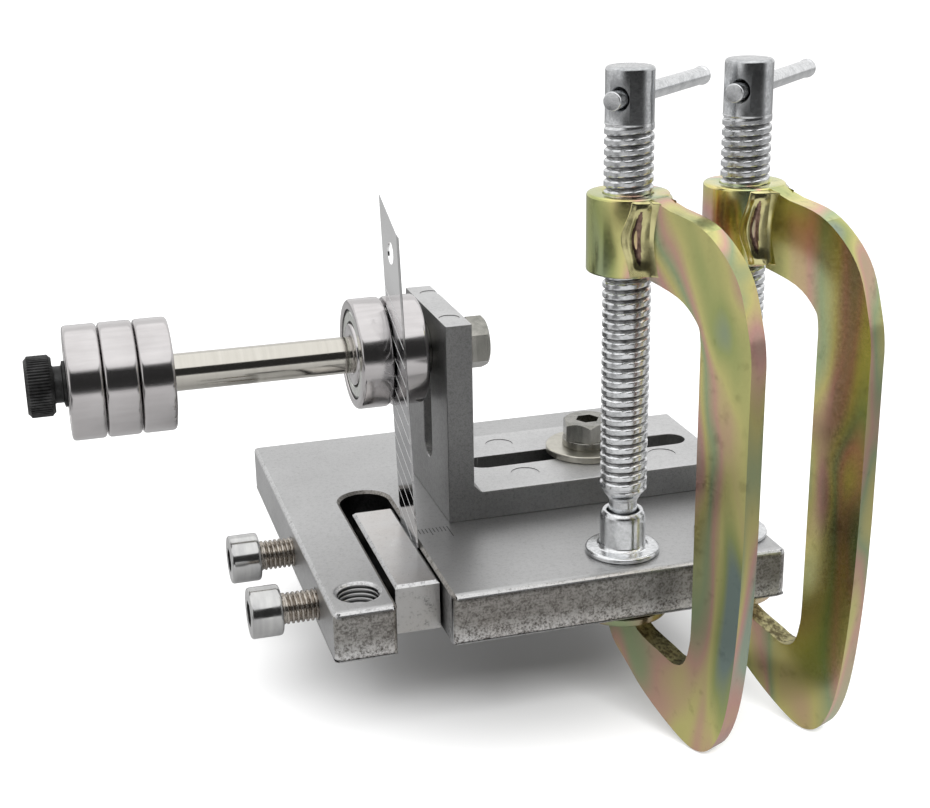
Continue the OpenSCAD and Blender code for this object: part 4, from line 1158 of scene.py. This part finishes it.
# studio
studio = {"floorDrop": 0.0004, "floorSize": 8.0, "floorTone": 0.58, "floorSeen": 0.37, "floorGlow": 0.5,
          "glowFrom": 0.040, "glowTo": 0.095, "skyTop": 1.32, "skyBack": 0.95, "skyFront": 0.035,
          "skyEdge": (0.60, 0.64), "roomEdge": (-0.78, -0.35), "cardTone": 0.05}
cards = {"cardLeft": (-0.8, -0.27, -0.32, -0.03), "cardRight": (0.10, 0.65, -0.60, -0.26),
         "cardFront": (-2.5, 2.5, -3.8, -0.85)}    # left, right, front, back
lamps = {"key": {"place": (-0.75, 0.1, 0.6), "target": (0, 0, 0.03), "size": (0.5, 0.5), "power": 1.0},
         "front": {"place": (-0.05, -0.62, 0.62), "target": (0, 0, -0.03), "size": (0.8, 0.3), "power": 8.0}}


def makePlane(name, x0, x1, y0, y1, z, look="floor"):
    bm = bmesh.new()
    bm.faces.new([bm.verts.new((x, y, z)) for x, y in ((x0, y0), (x1, y0), (x1, y1), (x0, y1))])
    plane = placed(name, meshOf(bm, name))
    dress(plane.data, look)
    return plane


def floorMaterial():
    # pale to the light, darker in reflections, and glowing white away from the part for the camera
    tree, shader, place = newMaterial("floor", 0.0)
    shader.inputs["Roughness"].default_value = 0.5
    shader.inputs["Specular IOR Level"].default_value = 0.0
    path = tree.nodes.new("ShaderNodeLightPath")
    tone = mixColour(tree, path.outputs["Is Glossy Ray"], grey(studio["floorTone"]), grey(studio["floorSeen"]))
    wire(tree, tone, shader.inputs["Base Color"])
    glow = put(tree, "ShaderNodeEmission")
    glow.inputs["Color"].default_value = (1, 1, 1, 1)
    reach = put(tree, "ShaderNodeVectorMath", operation="LENGTH")
    wire(tree, place.outputs["Object"], reach.inputs[0])
    away = put(tree, "ShaderNodeMapRange", interpolation_type="SMOOTHSTEP", From_Min=studio["glowFrom"],
               From_Max=studio["glowTo"], To_Max=studio["floorGlow"])
    wire(tree, reach.outputs["Value"], away.inputs["Value"])
    wire(tree, mathNode(tree, "MULTIPLY", path.outputs["Is Camera Ray"], away.outputs["Result"]),
         glow.inputs["Strength"])
    both = tree.nodes.new("ShaderNodeAddShader")
    wire(tree, shader.outputs[0], both.inputs[0])
    wire(tree, glow.outputs[0], both.inputs[1])
    wire(tree, both.outputs[0], tree.nodes["Material Output"].inputs["Surface"])


def cardMaterial():
    shader = newMaterial("darkCard", 0.0)[1]
    shader.inputs["Base Color"].default_value = (*grey(studio["cardTone"]), 1)
    shader.inputs["Roughness"].default_value = 0.8


def makeFloor():
    lowest = cadBox[0][2] - studio["floorDrop"]
    half = studio["floorSize"] / 2
    floorMaterial()
    makePlane("floor", -half, half, -half, half, lowest)
    cardMaterial()
    # dark cards beside and before the part, seen only in its polished metal
    for name, edges in cards.items():
        card = makePlane(name, *edges, lowest + mm, "darkCard")
        card.visible_camera = False
        card.visible_diffuse = False


def makeWorld():
    # soft light from above and behind, a dark room behind the camera
    world = bpy.data.worlds.new("studio")
    bpy.context.scene.world = world
    world.use_nodes = True
    tree = world.node_tree
    background = tree.nodes["Background"]
    place = tree.nodes.new("ShaderNodeTexCoord")
    high = riseAlong(tree, place, "Z", *studio["skyEdge"], space="Generated")
    back = riseAlong(tree, place, "Y", *studio["roomEdge"], space="Generated")
    low = mixColour(tree, back, grey(studio["skyFront"]), grey(studio["skyBack"]))
    sky = mixColour(tree, high, low, grey(studio["skyTop"]))
    path = tree.nodes.new("ShaderNodeLightPath")
    wire(tree, mixColour(tree, path.outputs["Is Camera Ray"], sky, grey(1.0)), background.inputs["Color"])


def addLamp(name, place, target, size, power):
    data = bpy.data.lights.new(name, "AREA")
    data.shape = "RECTANGLE"
    data.size, data.size_y = size
    data.energy = power
    lamp = placed(name, data)
    lamp.location = place
    lamp.rotation_euler = (Vector(target) - Vector(place)).to_track_quat("-Z", "Y").to_euler()
    lamp.visible_glossy = False


makeFloor()
makeWorld()
for lampName, values in lamps.items():
    addLamp(lampName, **values)
print("studio made")
